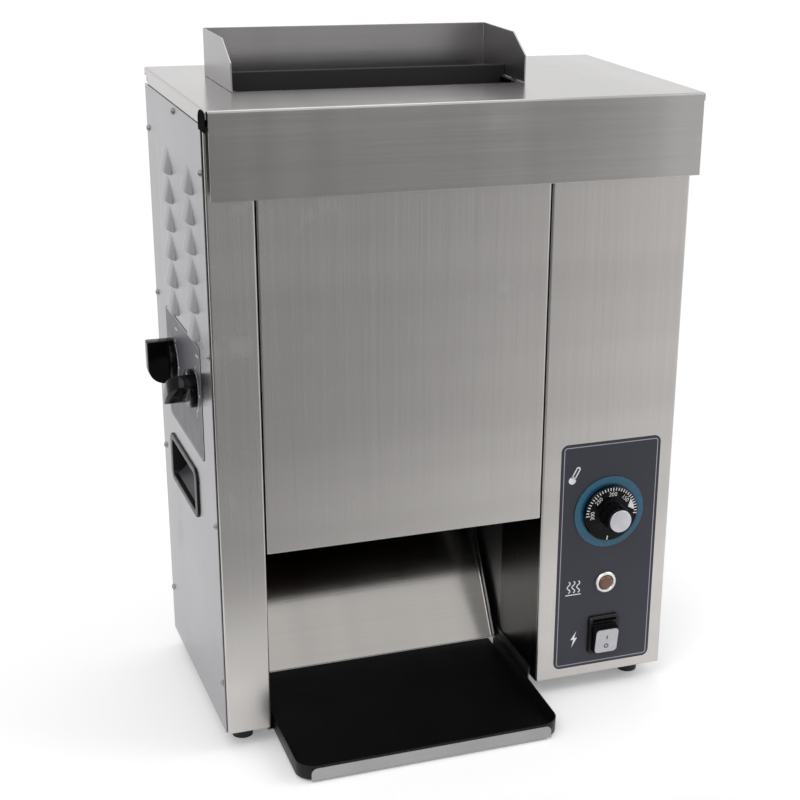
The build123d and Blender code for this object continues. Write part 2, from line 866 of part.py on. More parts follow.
# ---------------------------------------------------------------- drive train
def gear(y, z, teeth, phase):
    """A spur gear blank with straight-flanked teeth, on a shaft along X."""
    pitch_radius = gear_module * teeth / 2
    root = pitch_radius - tooth_dedendum * gear_module
    tip = pitch_radius + tooth_addendum * gear_module
    half = (pi * gear_module - tooth_backlash) / 4
    slope = tan(radians(pressure_angle))
    with BuildSketch(across(x_gear)) as face:
        with Locations((y, z)):
            Circle(root)
            with PolarLocations(0, teeth, start_angle=phase):
                Polygon(
                    (root - overcut, half + (pitch_radius - root) * slope),
                    (tip, half - (tip - pitch_radius) * slope),
                    (tip, -half + (tip - pitch_radius) * slope),
                    (root - overcut, -half - (pitch_radius - root) * slope),
                    align=None,
                )
    extrude(face.sketch, amount=gear_width)


for name, phase in (("front", 180 / gear_teeth), ("rear", 0)):
    with BuildPart() as wheel:
        gear(y_axles[name], z_drive, gear_teeth, phase)
        disc(across(x_gear), (y_axles[name], z_drive), drive_shaft_radius, gear_width, Mode.SUBTRACT)
        web = gear_module * gear_teeth / 4 + drive_shaft_radius / 2
        with BuildSketch(across(x_gear)) as holes:
            with Locations((y_axles[name], z_drive)):
                with PolarLocations(web, 6):
                    Circle(drive_shaft_radius)
        extrude(holes.sketch, amount=gear_width, mode=Mode.SUBTRACT)
    save(wheel, f"{name}_gear")

with BuildPart() as motor_pinion:
    gear(y_pinion, z_pinion, pinion_teeth, pinion_phase)
    disc(across(x_gear), (y_pinion, z_pinion), cam_shaft_radius, x_gearbox + gearbox_length / 2 - x_gear)
save(motor_pinion, "motor_pinion")

with BuildPart() as gear_motor:
    half = gearbox_side / 2
    slab((x_gearbox, x_gearbox + gearbox_length), (y_pinion - half, y_pinion + half),
         (z_pinion - half, z_pinion + half))
    fillet(gear_motor.edges().filter_by(Axis.X), bend * 2)
    disc(across(x_gearbox + gearbox_length), (y_pinion, z_pinion), motor_radius, motor_length)
    disc(across(x_gearbox - overcut), (y_pinion, z_pinion), cam_shaft_radius + run_clearance,
         gearbox_length / 2 + 2 * overcut, Mode.SUBTRACT)
save(gear_motor, "gear_motor")

with BuildPart() as motor_posts:
    offset_y = gearbox_side / 2 - 2 * post_radius
    for dy, dz in ((offset_y, -offset_y), (-offset_y, offset_y), (offset_y, offset_y)):
        disc(across(x_right_plate + side_plate), (y_pinion + dy, z_pinion + dz), post_radius,
             x_gearbox - x_right_plate - side_plate)
save(motor_posts, "motor_posts")

# ---------------------------------------------------------------- side panels and their fittings
def side_panel(x, face, towards):
    """A cabinet side with pressed louvres, screw holes and the cut-out for its carrying handle."""
    slab((x, x + sheet), (y_front + panel_front, y_back), (z_base, z_roof - flange_height - flange_gap))
    screw_holes(x - overcut, front_screws + back_screws + top_screw, sheet + 2 * overcut)
    plate(across(x - overcut), handle_spot, handle_pocket[0] + fit_gap, handle_pocket[1] + fit_gap,
          handle_corner - handle_lip_width, sheet + 2 * overcut, Mode.SUBTRACT)
    louvres(face, [(towards * y, z) for y, z in side_louvre_spots])


with BuildPart() as left_panel:
    side_panel(x_left, left_face, -1)
    for y in y_axles.values():
        disc(across(x_left - overcut), (y, z_cam), cam_shaft_radius + bend, sheet + 2 * overcut,
             Mode.SUBTRACT)
save(left_panel, "left_panel")

with BuildPart() as right_panel:
    side_panel(x_right - sheet, right_face, 1)
save(right_panel, "right_panel")


def screws(plane_at, head_at, spots):
    """Button-head screws along one axis, their heads outside."""
    for spot in spots:
        disc(plane_at(head_at[0]), spot, screw_head_radius, head_at[1])
        disc(plane_at(head_at[0]), spot, screw_radius, head_at[2])


with BuildPart() as panel_screws:
    side_spots = front_screws + back_screws + top_screw
    screws(across, (x_left, -screw_head, screw_grip), side_spots)
    screws(across, (x_right, screw_head, -screw_grip), side_spots)
    screws(facing, (y_back, -screw_head, screw_grip), rear_screw_spots)
    fillet(panel_screws.edges().group_by(Axis.X)[0], screw_head / 2)
    fillet(panel_screws.edges().group_by(Axis.X)[-1], screw_head / 2)
    fillet(panel_screws.edges().group_by(Axis.Y)[-1], screw_head / 2)
save(panel_screws, "panel_screws")

with BuildPart() as knob_plate:
    plate(across(x_left), (y_front + knob_plate_front + knob_plate_width / 2, z_base + knob_plate_low
          + knob_plate_height / 2), knob_plate_width, knob_plate_height, plate_corner, -plate_skin)
    for y in y_axles.values():
        disc(across(x_left + overcut), (y, z_cam), cam_shaft_radius + bend, -2 * overcut, Mode.SUBTRACT)
save(knob_plate, "knob_plate")


def handle(x, out):
    """A recessed plastic grip: a rim on the panel and a blind pocket behind it."""
    corner = handle_corner - handle_lip_width
    hollow = [side - 2 * handle_wall for side in handle_pocket]
    plate(across(x), handle_spot, handle_length, handle_height, handle_corner, out * handle_lip)
    plate(across(x), handle_spot, *handle_pocket, corner, -out * handle_depth)
    plate(across(x + out * (handle_lip + overcut)), handle_spot, *hollow, corner - handle_wall,
          -out * (handle_depth + handle_lip + overcut - handle_wall), Mode.SUBTRACT)


for side, x, out in (("left", x_left, -1), ("right", x_right, 1)):
    with BuildPart() as grip:
        handle(x, out)
        chamfer(grip.edges().group_by(Axis.X)[0 if out < 0 else -1], handle_lip / 4)
    save(grip, f"{side}_handle")

# ---------------------------------------------------------------- discharge chute and tray
with BuildPart() as discharge_chute:
    chute_half = (x_bay_right - x_bay_left) / 2 - chute_edge_gap
    foot, middle, top = ((y_front + y, z_base + z) for y, z in (chute_foot, chute_middle, chute_bend))
    for x, width, depth in (
        (x_mid - chute_half, 2 * chute_half, 0),
        (x_mid - chute_half, sheet, chute_flange),
        (x_mid + chute_half, -sheet, chute_flange),
    ):
        with BuildSketch(across(x)) as sweep:
            with BuildLine():
                arc = ThreePointArc(foot, middle, top)
                slope = arc % 1
                Line(arc @ 1, arc @ 1 + slope * chute_rise)
                offset(amount=sheet + depth, side=Side.LEFT)
            make_face()
        extrude(sweep.sketch, amount=width)
    for along in chute_studs:
        y = top[0] + slope.X * chute_rise * along
        z = top[1] + slope.Y * chute_rise * along
        disc(across(x_left_plate), (y, z), tie_radius, x_mid - chute_half + sheet - x_left_plate)
        disc(across(x_right_plate), (y, z), tie_radius, x_mid + chute_half - sheet - x_right_plate)
save(discharge_chute, "discharge_chute")

with BuildPart() as output_tray:
    half = tray_width / 2
    slope_scale = 1 / cos(radians(tray_slope))
    front = -tray_reach * slope_scale + tray_coat
    back = tray_back * slope_scale
    with BuildSketch(tray_plane) as floor:
        with Locations((0, (front + back) / 2)):
            Rectangle(tray_width, back - front)
        chamfer(floor.vertices().group_by(Axis.Y)[0], tray_corner)
    extrude(floor.sketch, amount=sheet)
    with BuildSketch(tray_plane) as rim:
        with BuildLine():
            Polyline(
                (-half, tray_wall_back),
                (-half, front + tray_corner),
                (-half + tray_corner, front),
                (half - tray_corner, front),
                (half, front + tray_corner),
                (half, tray_wall_back),
            )
            offset(amount=sheet, side=Side.LEFT)
        make_face()
    extrude(rim.sketch, amount=tray_wall)
save(output_tray, "output_tray")

with BuildPart() as tray_front_lip:
    lip_plane = Plane(
        origin=tray_plane.from_local_coords((0, front, 0)),
        x_dir=(1, 0, 0),
        z_dir=-tray_plane.y_dir,
    )
    with BuildSketch(lip_plane) as strip:
        with Locations((0, tray_lip / 2)):
            Rectangle(tray_width - 2 * tray_corner, tray_lip)
        fillet(strip.vertices().group_by(Axis.Y)[-1], plate_corner)
    extrude(strip.sketch, amount=tray_coat)
save(tray_front_lip, "tray_front_lip")

with BuildPart() as tray_ledges:
    ledge_plane = Plane(
        origin=tray_plane.from_local_coords((-x_mid, column_return, -sheet - fit_gap)),
        x_dir=(1, 0, 0),
        z_dir=-tray_plane.y_dir,
    )
    for side, x, inner in ((-1, x_bay_left, Side.LEFT), (1, x_bay_right, Side.RIGHT)):
        bent(
            ledge_plane,
            [(x, ledge_web), (x, 0), (x - side * ledge_width, 0)],
            -ledge_length,
            inner,
            radius=bend / 2,
        )
save(tray_ledges, "tray_ledges")

# ---------------------------------------------------------------- control panel
with BuildPart() as control_plate:
    plate(facing(y_front), (x_control, z_base + control_low + control_height / 2), control_width,
          control_height, control_corner, plate_skin)
    disc(facing(y_front + overcut), dial_spot, spindle_radius + spindle_hole_gap, 2 * overcut, Mode.SUBTRACT)
    disc(facing(y_front + overcut), lamp_spot, lamp_lens_radius + fit_gap, 2 * overcut, Mode.SUBTRACT)
    plate(facing(y_front + overcut), switch_spot, *switch_body, bend, 2 * overcut, Mode.SUBTRACT)
save(control_plate, "control_plate")

with BuildPart() as dial_ring:
    ring(facing(y_plate), dial_spot, dial_ring_radius, spindle_radius + spindle_hole_gap, dial_ring_skin)
save(dial_ring, "dial_ring")

y_dial = y_plate - dial_ring_skin - dial_gap
y_grip = y_dial - dial_thickness - dial_grip_height
with BuildPart() as thermostat_dial:
    disc(facing(y_dial), dial_spot, dial_radius, dial_thickness)
    chamfer(thermostat_dial.edges().group_by(Axis.Y)[0], dial_thickness / 4)
    with BuildSketch(facing(y_dial - dial_thickness)) as grip_section:
        with Locations(dial_spot):
            Circle(dial_grip_radius)
            with PolarLocations(dial_grip_radius + dial_flute_radius / 2, dial_flutes):
                Circle(dial_flute_radius, mode=Mode.SUBTRACT)
    extrude(grip_section.sketch, amount=dial_grip_height)
    disc(facing(y_dial + overcut), dial_spot, spindle_radius, dial_grip_height / 2 + overcut, Mode.SUBTRACT)
save(thermostat_dial, "thermostat_dial")

with BuildPart() as dial_cap_disc:
    disc(facing(y_grip), dial_spot, dial_cap_radius, dial_cap)
    fillet(dial_cap_disc.edges().group_by(Axis.Y)[0], dial_cap / 2)
save(dial_cap_disc, "dial_cap")

with BuildPart() as thermostat_spindle:
    disc(facing(y_dial - dial_grip_height / 2), dial_spot, spindle_radius,
         y_dial - dial_grip_height / 2 - y_front - sheet - thermostat_depth / 2)
save(thermostat_spindle, "thermostat_spindle")

with BuildPart() as thermostat_body:
    half = thermostat_width / 2
    slab((dial_spot[0] - half, dial_spot[0] + half), (y_front + sheet, y_front + sheet + thermostat_depth),
         (dial_spot[1] - half, dial_spot[1] + half))
    fillet(thermostat_body.edges().filter_by(Axis.Y), bend)
    disc(facing(y_front + sheet), dial_spot, spindle_radius + run_clearance, -thermostat_depth / 2 - bend,
         Mode.SUBTRACT)
save(thermostat_body, "thermostat_body")

with BuildPart() as lamp_bezel_ring:
    ring(facing(y_plate), lamp_spot, lamp_bezel_radius, lamp_lens_radius + fit_gap, lamp_bezel)
    chamfer(lamp_bezel_ring.edges().group_by(Axis.Y)[0], lamp_bezel / 4)
save(lamp_bezel_ring, "lamp_bezel")

with BuildPart() as lamp_lens:
    disc(facing(y_front + sheet + lamp_body / 2), lamp_spot, lamp_lens_radius,
         sheet + lamp_body / 2 + plate_skin + lamp_lens_rise)
    fillet(lamp_lens.edges().group_by(Axis.Y)[0], lamp_lens_rise * 0.8)
save(lamp_lens, "lamp_lens")

with BuildPart() as lamp_holder:
    disc(facing(y_front + sheet), lamp_spot, lamp_bezel_radius, -lamp_body)
    disc(facing(y_front + sheet), lamp_spot, lamp_lens_radius + fit_gap, -lamp_body / 2, Mode.SUBTRACT)
save(lamp_holder, "lamp_holder")

with BuildPart() as switch_housing:
    plate(facing(y_plate), switch_spot, switch_bezel_width, switch_bezel_height, 2 * bend, switch_bezel)
    chamfer(switch_housing.edges().group_by(Axis.Y)[0], switch_bezel / 3)
    plate(facing(y_plate), switch_spot, *switch_body, bend, -switch_depth)
    plate(facing(y_plate - switch_bezel), switch_spot, *switch_cavity, bend / 2,
          -switch_bezel - switch_depth + switch_wall, Mode.SUBTRACT)
    disc(across(x_control - switch_body[0]), rocker_axis, rocker_pin_radius + run_clearance,
         2 * switch_body[0], Mode.SUBTRACT)
save(switch_housing, "switch_housing")

rocker_plane = Plane(
    origin=(x_control, *rocker_axis),
    x_dir=(0, -cos(radians(rocker_tilt)), -sin(radians(rocker_tilt))),
    z_dir=(-1, 0, 0),
)
with BuildPart() as power_rocker:
    with BuildSketch(rocker_plane) as flank:
        with BuildLine():
            Polyline(
                (-rocker_root, -rocker_height / 2 + rocker_brow),
                (0, -rocker_height / 2),
                (rocker_reach, -rocker_height / 2),
                (rocker_reach, rocker_height / 2 - 2 * rocker_brow),
                (rocker_pivot + rocker_brow, rocker_height / 2 - 2 * rocker_brow),
                (rocker_pivot + rocker_brow, rocker_height / 2),
                (0, rocker_height / 2),
                (-rocker_root, rocker_height / 2 - rocker_brow),
                close=True,
            )
        make_face()
    extrude(flank.sketch, amount=rocker_width / 2, both=True)
    disc(across(x_control - rocker_pin), rocker_axis, rocker_pin_radius, 2 * rocker_pin)
save(power_rocker, "power_rocker")

with BuildPart() as rocker_face:
    cap_plane = Plane(
        origin=rocker_plane.from_local_coords((rocker_reach, -rocker_brow, 0)),
        x_dir=(1, 0, 0),
        z_dir=rocker_plane.x_dir,
    )
    plate(cap_plane, (0, 0), rocker_width - rocker_gap, rocker_height - 2 * rocker_brow - rocker_gap,
          rocker_cap_corner, rocker_cap)
save(rocker_face, "rocker_face")

# ---------------------------------------------------------------- cord inlet
gland_spot = (x_right - gland_inset, z_base + gland_level)
with BuildPart() as cord_gland:
    disc(facing(y_back), gland_spot, gland_flange_radius, -gland_flange)
    disc(facing(y_back), gland_spot, gland_radius, -gland_reach)
    disc(facing(y_back), gland_spot, gland_radius, gland_reach)
    disc(facing(y_back - gland_reach), gland_spot, gland_bore, -2 * gland_reach, Mode.SUBTRACT)
    fillet(cord_gland.edges().group_by(Axis.Y)[-1], bend / 2)
save(cord_gland, "cord_gland")

with BuildPart() as terminal_block:
    y_terminal = y_back - column_return - terminal_width
    slab((gland_spot[0] - terminal_length / 2, gland_spot[0] + terminal_length / 2),
         (y_terminal - terminal_width / 2, y_terminal + terminal_width / 2),
         (z_base + sheet, z_base + sheet + terminal_height))
    step = terminal_length / (terminal_poles + 1)
    for pole in range(terminal_poles):
        for y in (y_terminal + terminal_width / 4, y_terminal - terminal_width / 4):
            disc(Plane.XY.offset(z_base + sheet + terminal_height),
                 (gland_spot[0] - terminal_length / 2 + step * (pole + 1), y), spindle_radius,
                 -terminal_height / 2, Mode.SUBTRACT)
save(terminal_block, "terminal_block")
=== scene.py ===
from math import cos, pi, radians, sin

import bmesh
import bpy
from mathutils import Matrix, Vector


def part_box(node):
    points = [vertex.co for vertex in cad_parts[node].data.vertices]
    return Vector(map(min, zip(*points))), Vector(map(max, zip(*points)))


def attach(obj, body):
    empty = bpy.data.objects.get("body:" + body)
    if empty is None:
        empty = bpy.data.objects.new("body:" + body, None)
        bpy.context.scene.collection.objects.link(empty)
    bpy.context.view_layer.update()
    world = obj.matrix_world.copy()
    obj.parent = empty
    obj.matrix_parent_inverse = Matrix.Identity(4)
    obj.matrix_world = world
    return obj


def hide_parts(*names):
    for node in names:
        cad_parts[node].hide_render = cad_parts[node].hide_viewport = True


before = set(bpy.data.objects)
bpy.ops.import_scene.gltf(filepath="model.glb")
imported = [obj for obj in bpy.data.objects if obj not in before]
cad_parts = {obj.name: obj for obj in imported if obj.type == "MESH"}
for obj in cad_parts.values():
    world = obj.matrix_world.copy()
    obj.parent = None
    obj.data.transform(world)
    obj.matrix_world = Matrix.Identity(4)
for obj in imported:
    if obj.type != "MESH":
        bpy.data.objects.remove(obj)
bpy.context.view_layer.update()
scene = bpy.context.scene
print("frame loaded:", len(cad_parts), "nodes")


def linear(value):
    return value / 12.92 if value <= 0.04045 else ((value + 0.055) / 1.055) ** 2.4


def screenColour(red, green, blue):  # 0 to 255, as it should look, made linear for the shader
    return tuple(linear(v / 255) for v in (red, green, blue)) + (1.0,)


def toned(colour, factor):
    return tuple(min(1.0, v * factor) for v in colour[:3]) + (1.0,)


class Shade:  # a socket that can be used in sums
    def __init__(self, tree, socket):
        self.tree = tree
        self.socket = socket

    def math(self, operation, *others):
        node = self.tree.nodes.new("ShaderNodeMath")
        node.operation = operation
        for slot, value in zip(node.inputs, (self, *others)):
            plug(self.tree, slot, value)
        return Shade(self.tree, node.outputs[0])

    def __add__(self, other):
        return self.math("ADD", other)

    __radd__ = __add__

    def __sub__(self, other):
        return self.math("SUBTRACT", other)

    def __rsub__(self, other):
        return self.math("MULTIPLY", -1.0).math("ADD", other)

    def __mul__(self, other):
        return self.math("MULTIPLY", other)

    __rmul__ = __mul__

    def __truediv__(self, other):
        return self.math("DIVIDE", other)

    def __pow__(self, other):
        return self.math("POWER", other)

    def __abs__(self):
        return self.math("ABSOLUTE")

    def least(self, other):
        return self.math("MINIMUM", other)

    def most(self, other):
        return self.math("MAXIMUM", other)

    def part(self):  # what is left after the whole number
        return self.math("FRACT")

    def root(self):
        return self.math("SQRT")

    def kept(self):  # held between 0 and 1
        return self.most(0.0).least(1.0)

    def ease(self, low, high):  # 0 below low, 1 above high, smooth between
        step = ((self - low) / (high - low)).kept()
        return step * step * (3.0 - 2.0 * step)


def plug(tree, slot, value):
    if isinstance(value, Shade):
        tree.links.new(value.socket, slot)
    else:
        slot.default_value = value


class Board:  # a node tree and the one way to add a node to it
    def __init__(self, tree):
        self.tree = tree

    def add(self, kind, settings=None, inputs=None, output=0):
        node = self.tree.nodes.new(kind)
        for key, value in (settings or {}).items():
            setattr(node, key, value)
        for key, value in (inputs or {}).items():
            plug(self.tree, node.inputs[key], value)
        return Shade(self.tree, node.outputs[output])


class Finish(Board):  # one procedural material
    def __init__(self, name, **plain):
        self.material = bpy.data.materials.new(name)
        self.material.use_nodes = True
        super().__init__(self.material.node_tree)
        self.shader = self.tree.nodes["Principled BSDF"]
        for label, value in plain.items():
            self.shader.inputs[label.replace("_", " ")].default_value = value
        self.spot = self.add("ShaderNodeTexCoord", output="Object")

    def axes(self):
        inputs = {0: self.spot}
        return [self.add("ShaderNodeSeparateXYZ", inputs=inputs, output=i) for i in range(3)]

    def stretched(self, scale):
        return self.add("ShaderNodeMapping", inputs={"Vector": self.spot, "Scale": scale})

    def noise(self, where, scale, detail=2.0, rough=0.5):
        inputs = {"Vector": where, "Scale": scale, "Detail": detail, "Roughness": rough}
        return self.add("ShaderNodeTexNoise", inputs=inputs)

    def blend(self, amount, first, second, how="MIX"):
        settings = {"data_type": "RGBA", "blend_type": how}
        return self.add("ShaderNodeMix", settings, {0: amount, 6: first, 7: second}, output=2)

    def softEdge(self, radius):  # the normal of an edge rounded off by a radius
        return self.add("ShaderNodeBevel", {"samples": 4}, {"Radius": radius})

    def edgeWearAndHighlight(self, soft):  # how far that normal leans away from the face; edges are painted paler by it, as wear and as a painted highlight
        flat = self.add("ShaderNodeNewGeometry", output="Normal")
        settings = {"operation": "DOT_PRODUCT"}
        lean = self.add("ShaderNodeVectorMath", settings, {0: soft, 1: flat}, "Value")
        return (1.0 - lean).ease(0.02, 0.22)

    def bump(self, height, strength, distance, over=None):
        inputs = {"Height": height, "Strength": strength, "Distance": distance}
        if over is not None:
            inputs["Normal"] = over
        return self.add("ShaderNodeBump", inputs=inputs)

    def give(self, **links):
        for label, value in links.items():
            plug(self.tree, self.shader.inputs[label.replace("_", " ")], value)
        return self.material


class Growth(Board):  # a Geometry Nodes tree with named inputs for its sizes
    kinds = {float: "NodeSocketFloat", int: "NodeSocketInt", tuple: "NodeSocketVector"}

    def __init__(self, name, sizes, shapes=()):
        super().__init__(bpy.data.node_groups.new(name, "GeometryNodeTree"))
        shape = "NodeSocketGeometry"
        sockets = [("Geometry", shape), ("Finish", "NodeSocketMaterial")]
        sockets += [(label, self.kinds[type(value)]) for label, value in sizes.items()]
        sockets += [(label, "NodeSocketObject") for label in shapes]
        for label, kind in sockets:
            self.tree.interface.new_socket(label, in_out="INPUT", socket_type=kind)
        self.tree.interface.new_socket("Geometry", in_out="OUTPUT", socket_type=shape)
        self.inlet = self.tree.nodes.new("NodeGroupInput")
        self.outlet = self.tree.nodes.new("NodeGroupOutput")

    def size(self, label):
        return Shade(self.tree, self.inlet.outputs[label])

    def close(self, shape):
        whole = self.add("GeometryNodeRealizeInstances", inputs={0: shape})
        inputs = {"Geometry": whole, "Material": self.size("Finish")}
        painted = self.add("GeometryNodeSetMaterial", inputs=inputs)
        self.tree.links.new(painted.socket, self.outlet.inputs[0])

    def grow(self, seedMesh, values):  # a plain mesh of what the tree makes
        holder = bpy.data.objects.new("growing", seedMesh)
        scene.collection.objects.link(holder)
        modifier = holder.modifiers.new("growth", "NODES")
        modifier.node_group = self.tree
        for item in self.tree.interface.items_tree:
            if item.in_out == "INPUT" and item.name in values:
                modifier[item.identifier] = values[item.name]
        graph = bpy.context.evaluated_depsgraph_get()
        made = bpy.data.meshes.new_from_object(holder.evaluated_get(graph))
        bpy.data.objects.remove(holder)
        return made


# sheet metal: fine scratches along one axis, broad soft bands across it painted darker as a
# painted reflection, smudges, and its bends painted brighter as rubbed wear and as a painted
# highlight
def brushedSteel(name, tone, along, rough=0.27, streak=0.03, smudge=0.5, paintedBandShade=0.05, inner=None):
    steel = Finish(name, Metallic=1.0)

    def lined(across, lengthwise, *noise):  # noise drawn out along the brushing
        scale = [across] * 3
        scale[along] = lengthwise
        return steel.noise(steel.stretched(tuple(scale)), 1.0, *noise)

    scratch = lined(1600.0, 9.0, 3.0, 0.6)
    band = lined(300.0, 1.5)
    reflectionBands = lined(0.4, 11.0).ease(0.38, 0.62)
    cloud = steel.noise(steel.spot, 8.0, 3.0)
    finger = steel.noise(steel.spot, 26.0, 2.0).ease(0.6, 0.75) * cloud.ease(0.5, 0.65) * smudge
    soft = steel.softEdge(0.0007)
    wornAndHighlit = steel.edgeWearAndHighlight(soft)
    grain = (scratch * 0.6 + band * 0.4).ease(0.3, 0.7)
    colour = steel.blend(grain, toned(tone, 1 - streak), toned(tone, 1 + streak))
    # the broad bands are painted darker: a painted reflection of a light and dark room
    shaded = steel.blend(1.0, colour, (1 - paintedBandShade * 2,) * 3 + (1.0,), "MULTIPLY")
    colour = steel.blend(reflectionBands * 0.9, colour, shaded)
    colour = steel.blend(cloud.ease(0.35, 0.7) * 0.25, colour, toned(tone, 0.92))
    # bends painted brighter: rubbed wear and a painted highlight
    colour = steel.blend(wornAndHighlit * 0.6, colour, toned(tone, 1.45))
    if inner is not None:  # the folded-in edges behind the face are painted almost black: painted shade in the gaps
        gapShade = steel.axes()[1].ease(inner, inner + 0.002)
        colour = steel.blend(gapShade * 0.95, colour, toned(tone, 0.05))
    gloss = (scratch - 0.5) * 0.08 + (band - 0.5) * 0.04 + (cloud - 0.5) * 0.08
    gloss = gloss + finger * 0.1 + rough
    return steel.give(
        Base_Color=colour,
        Roughness=gloss.kept(),
        Normal=steel.bump(scratch * 0.7 + band * 0.3, 0.1, 0.0002, soft),
    )


# plain rolled sheet for the inner pieces
def millSteel(name, tone, rough=0.38):
    steel = Finish(name, Metallic=1.0)
    grain = steel.noise(steel.stretched((60.0, 60.0, 700.0)), 1.0, 2.0)
    cloud = steel.noise(steel.spot, 14.0, 4.0)
    wornAndHighlit = steel.edgeWearAndHighlight(steel.softEdge(0.0006))
    colour = steel.blend(cloud.ease(0.3, 0.7), tone, toned(tone, 0.8))
    # edges painted brighter: rubbed wear and a painted highlight
    colour = steel.blend(wornAndHighlit * 0.5, colour, toned(tone, 1.4))
    return steel.give(
        Base_Color=colour,
        Roughness=(cloud * 0.2 + grain * 0.1 + (rough - 0.15)).kept(),
        Normal=steel.bump(grain, 0.2, 0.0002),
    )


# lathe-turned metal: rings round a shaft along X
def turnedMetal(name, tone, rough=0.25):
    metal = Finish(name, Metallic=1.0)
    rings = metal.noise(metal.stretched((1500.0, 20.0, 20.0)), 1.0, 2.0)
    stain = metal.noise(metal.spot, 40.0, 3.0)
    colour = metal.blend(stain.ease(0.4, 0.7) * 0.5, tone, toned(tone, 0.6))
    return metal.give(
        Base_Color=colour,
        Roughness=(rings * 0.15 + stain * 0.15 + (rough - 0.1)).kept(),
        Normal=metal.bump(rings, 0.25, 0.0002),
    )


# moulded plastic: faint pebble, soft scuffs, corners painted a little paler as rubbed wear and as
# a painted highlight
def mouldedPlastic(name, tone, rough=0.4, pebble=0.15, coat=0.0, soften=0.0006, shine=0.5):
    plastic = Finish(name, Coat_Roughness=0.12, Specular_IOR_Level=shine)
    grit = plastic.noise(plastic.spot, 1400.0, 2.0)
    scuff = plastic.noise(plastic.spot, 60.0, 4.0, 0.65)
    soft = plastic.softEdge(soften)
    wornAndHighlit = plastic.edgeWearAndHighlight(soft) * (0.4 + scuff)
    lift = tuple(min(1.0, v * 1.25 + 0.004) for v in tone[:3]) + (1.0,)
    rubbedAndHighlit = tuple(min(1.0, v * 1.5 + 0.012) for v in tone[:3]) + (1.0,)
    colour = plastic.blend(scuff.ease(0.45, 0.75) * 0.6, tone, lift)
    colour = plastic.blend((wornAndHighlit * 0.7).kept(), colour, rubbedAndHighlit)
    return plastic.give(
        Base_Color=colour,
        Roughness=((scuff - 0.5) * 0.25 + (grit - 0.5) * 0.1 + rough).kept(),
        Coat_Weight=(coat - scuff * coat * 0.3),
        Normal=plastic.bump(grit, pebble, 0.0002, soft),
    )


# baked-on black coating: fine orange peel, worn paler along scrapes, and edges painted paler as
# wear and as a painted highlight
def nonStickCoating(name, tone, rough=0.42):
    coat = Finish(name, Specular_IOR_Level=0.25)
    peel = coat.noise(coat.spot, 700.0, 2.0)
    scrape = coat.noise(coat.stretched((160.0, 6.0, 60.0)), 1.0, 3.0, 0.6).ease(0.62, 0.8)
    cloud = coat.noise(coat.spot, 18.0, 3.0)
    soft = coat.softEdge(0.0006)
    rubbedAndHighlit = tuple(v * 2.2 + 0.004 for v in tone[:3]) + (1.0,)
    colour = coat.blend((scrape * 0.35 + coat.edgeWearAndHighlight(soft) * 0.5).kept(), tone, rubbedAndHighlit)
    return coat.give(
        Base_Color=colour,
        Roughness=((cloud - 0.5) * 0.2 + (peel - 0.5) * 0.15 + scrape * 0.06 + rough).kept(),
        Normal=coat.bump(peel, 0.12, 0.0003, soft),
    )


# printed film on a flat plate: a rounded frame line set in from the edge, on two axes
def printedFilm(name, tone, ink, rough, plate, axesUsed, corner, lines):
    film = Finish(name, Specular_IOR_Level=0.35)
    places = film.axes()
    outside = []
    for axis in axesUsed:
        low, high = plate[0][axis], plate[1][axis]
        outside.append(abs(places[axis] - (low + high) / 2) - ((high - low) / 2 - corner))
    across, upward = outside
    reach = (across.most(0.0) ** 2.0 + upward.most(0.0) ** 2.0).root()
    reach = reach + across.most(upward).least(0.0) - corner  # how far past the rounded edge
    scuff = film.noise(film.spot, 55.0, 4.0, 0.6)
    grit = film.noise(film.spot, 1800.0, 2.0)
    colour = film.blend(scuff.ease(0.45, 0.8) * 0.5, tone, toned(tone, 1.22))
    for inset, half, shade in lines:
        line = 1.0 - abs(reach + inset).ease(half * 0.7, half * 1.3)
        colour = film.blend(line * (0.8 + scuff * 0.2), colour, shade)
    edge = (reach + 0.0005).ease(0.0, 0.0003)
    colour = film.blend(edge * 0.8, colour, ink)
    return film.give(
        Base_Color=colour,
        Roughness=((scuff - 0.5) * 0.2 + (grit - 0.5) * 0.08 + rough).kept(),
        Normal=film.bump(grit, 0.06, 0.0002),
    )


print("material recipes ready")
# one stainless steel throughout: its tone is set piece by piece as painted light and shade
steelFront = brushedSteel(
    # from inner back, the front sheets' folded edges are painted almost black as painted shade
    "steelFrontSheets", (0.565, 0.545, 0.53, 1), along=2, rough=0.25, inner=-0.0845
)
steelLip = brushedSteel("steelTopCover", (0.495, 0.48, 0.475, 1), along=0, rough=0.2, paintedBandShade=0.08)
steelGuard = brushedSteel("steelGuard", (0.36, 0.35, 0.35, 1), along=0, rough=0.3)
# the side panels' steel is painted far darker than the front sheets: painted shade
steelSideShaded = brushedSteel(
    "steelSidePanels", (0.272, 0.268, 0.284, 1), along=2, rough=0.24, smudge=0.3
)
steelChute = brushedSteel("steelChute", (0.42, 0.405, 0.385, 1), along=0, rough=0.11)
steelTray = brushedSteel("steelTrayEdge", (0.36, 0.36, 0.365, 1), along=0, rough=0.3)
steelInner = millSteel("steelInnerSheets", (0.3, 0.3, 0.3, 1))
steelTurned = turnedMetal("steelShafts", (0.52, 0.52, 0.52, 1))
rollerMetal = turnedMetal("rollerAluminium", (0.66, 0.66, 0.67, 1), 0.3)
bushBronze = turnedMetal("bushBronze", (0.55, 0.38, 0.18, 1), 0.32)
screwPlate = turnedMetal("screwPlating", (0.36, 0.355, 0.36, 1), 0.28)
capMetal = turnedMetal("capSatin", (0.62, 0.62, 0.66, 1), 0.3)
bezelMetal = turnedMetal("bezelPlating", (0.80, 0.79, 0.77, 1), 0.22)
blackCoating = nonStickCoating("blackNonStick", screenColour(7, 7, 9))
dividerCoating = nonStickCoating("dividerCoating", screenColour(16, 15, 16), 0.45)
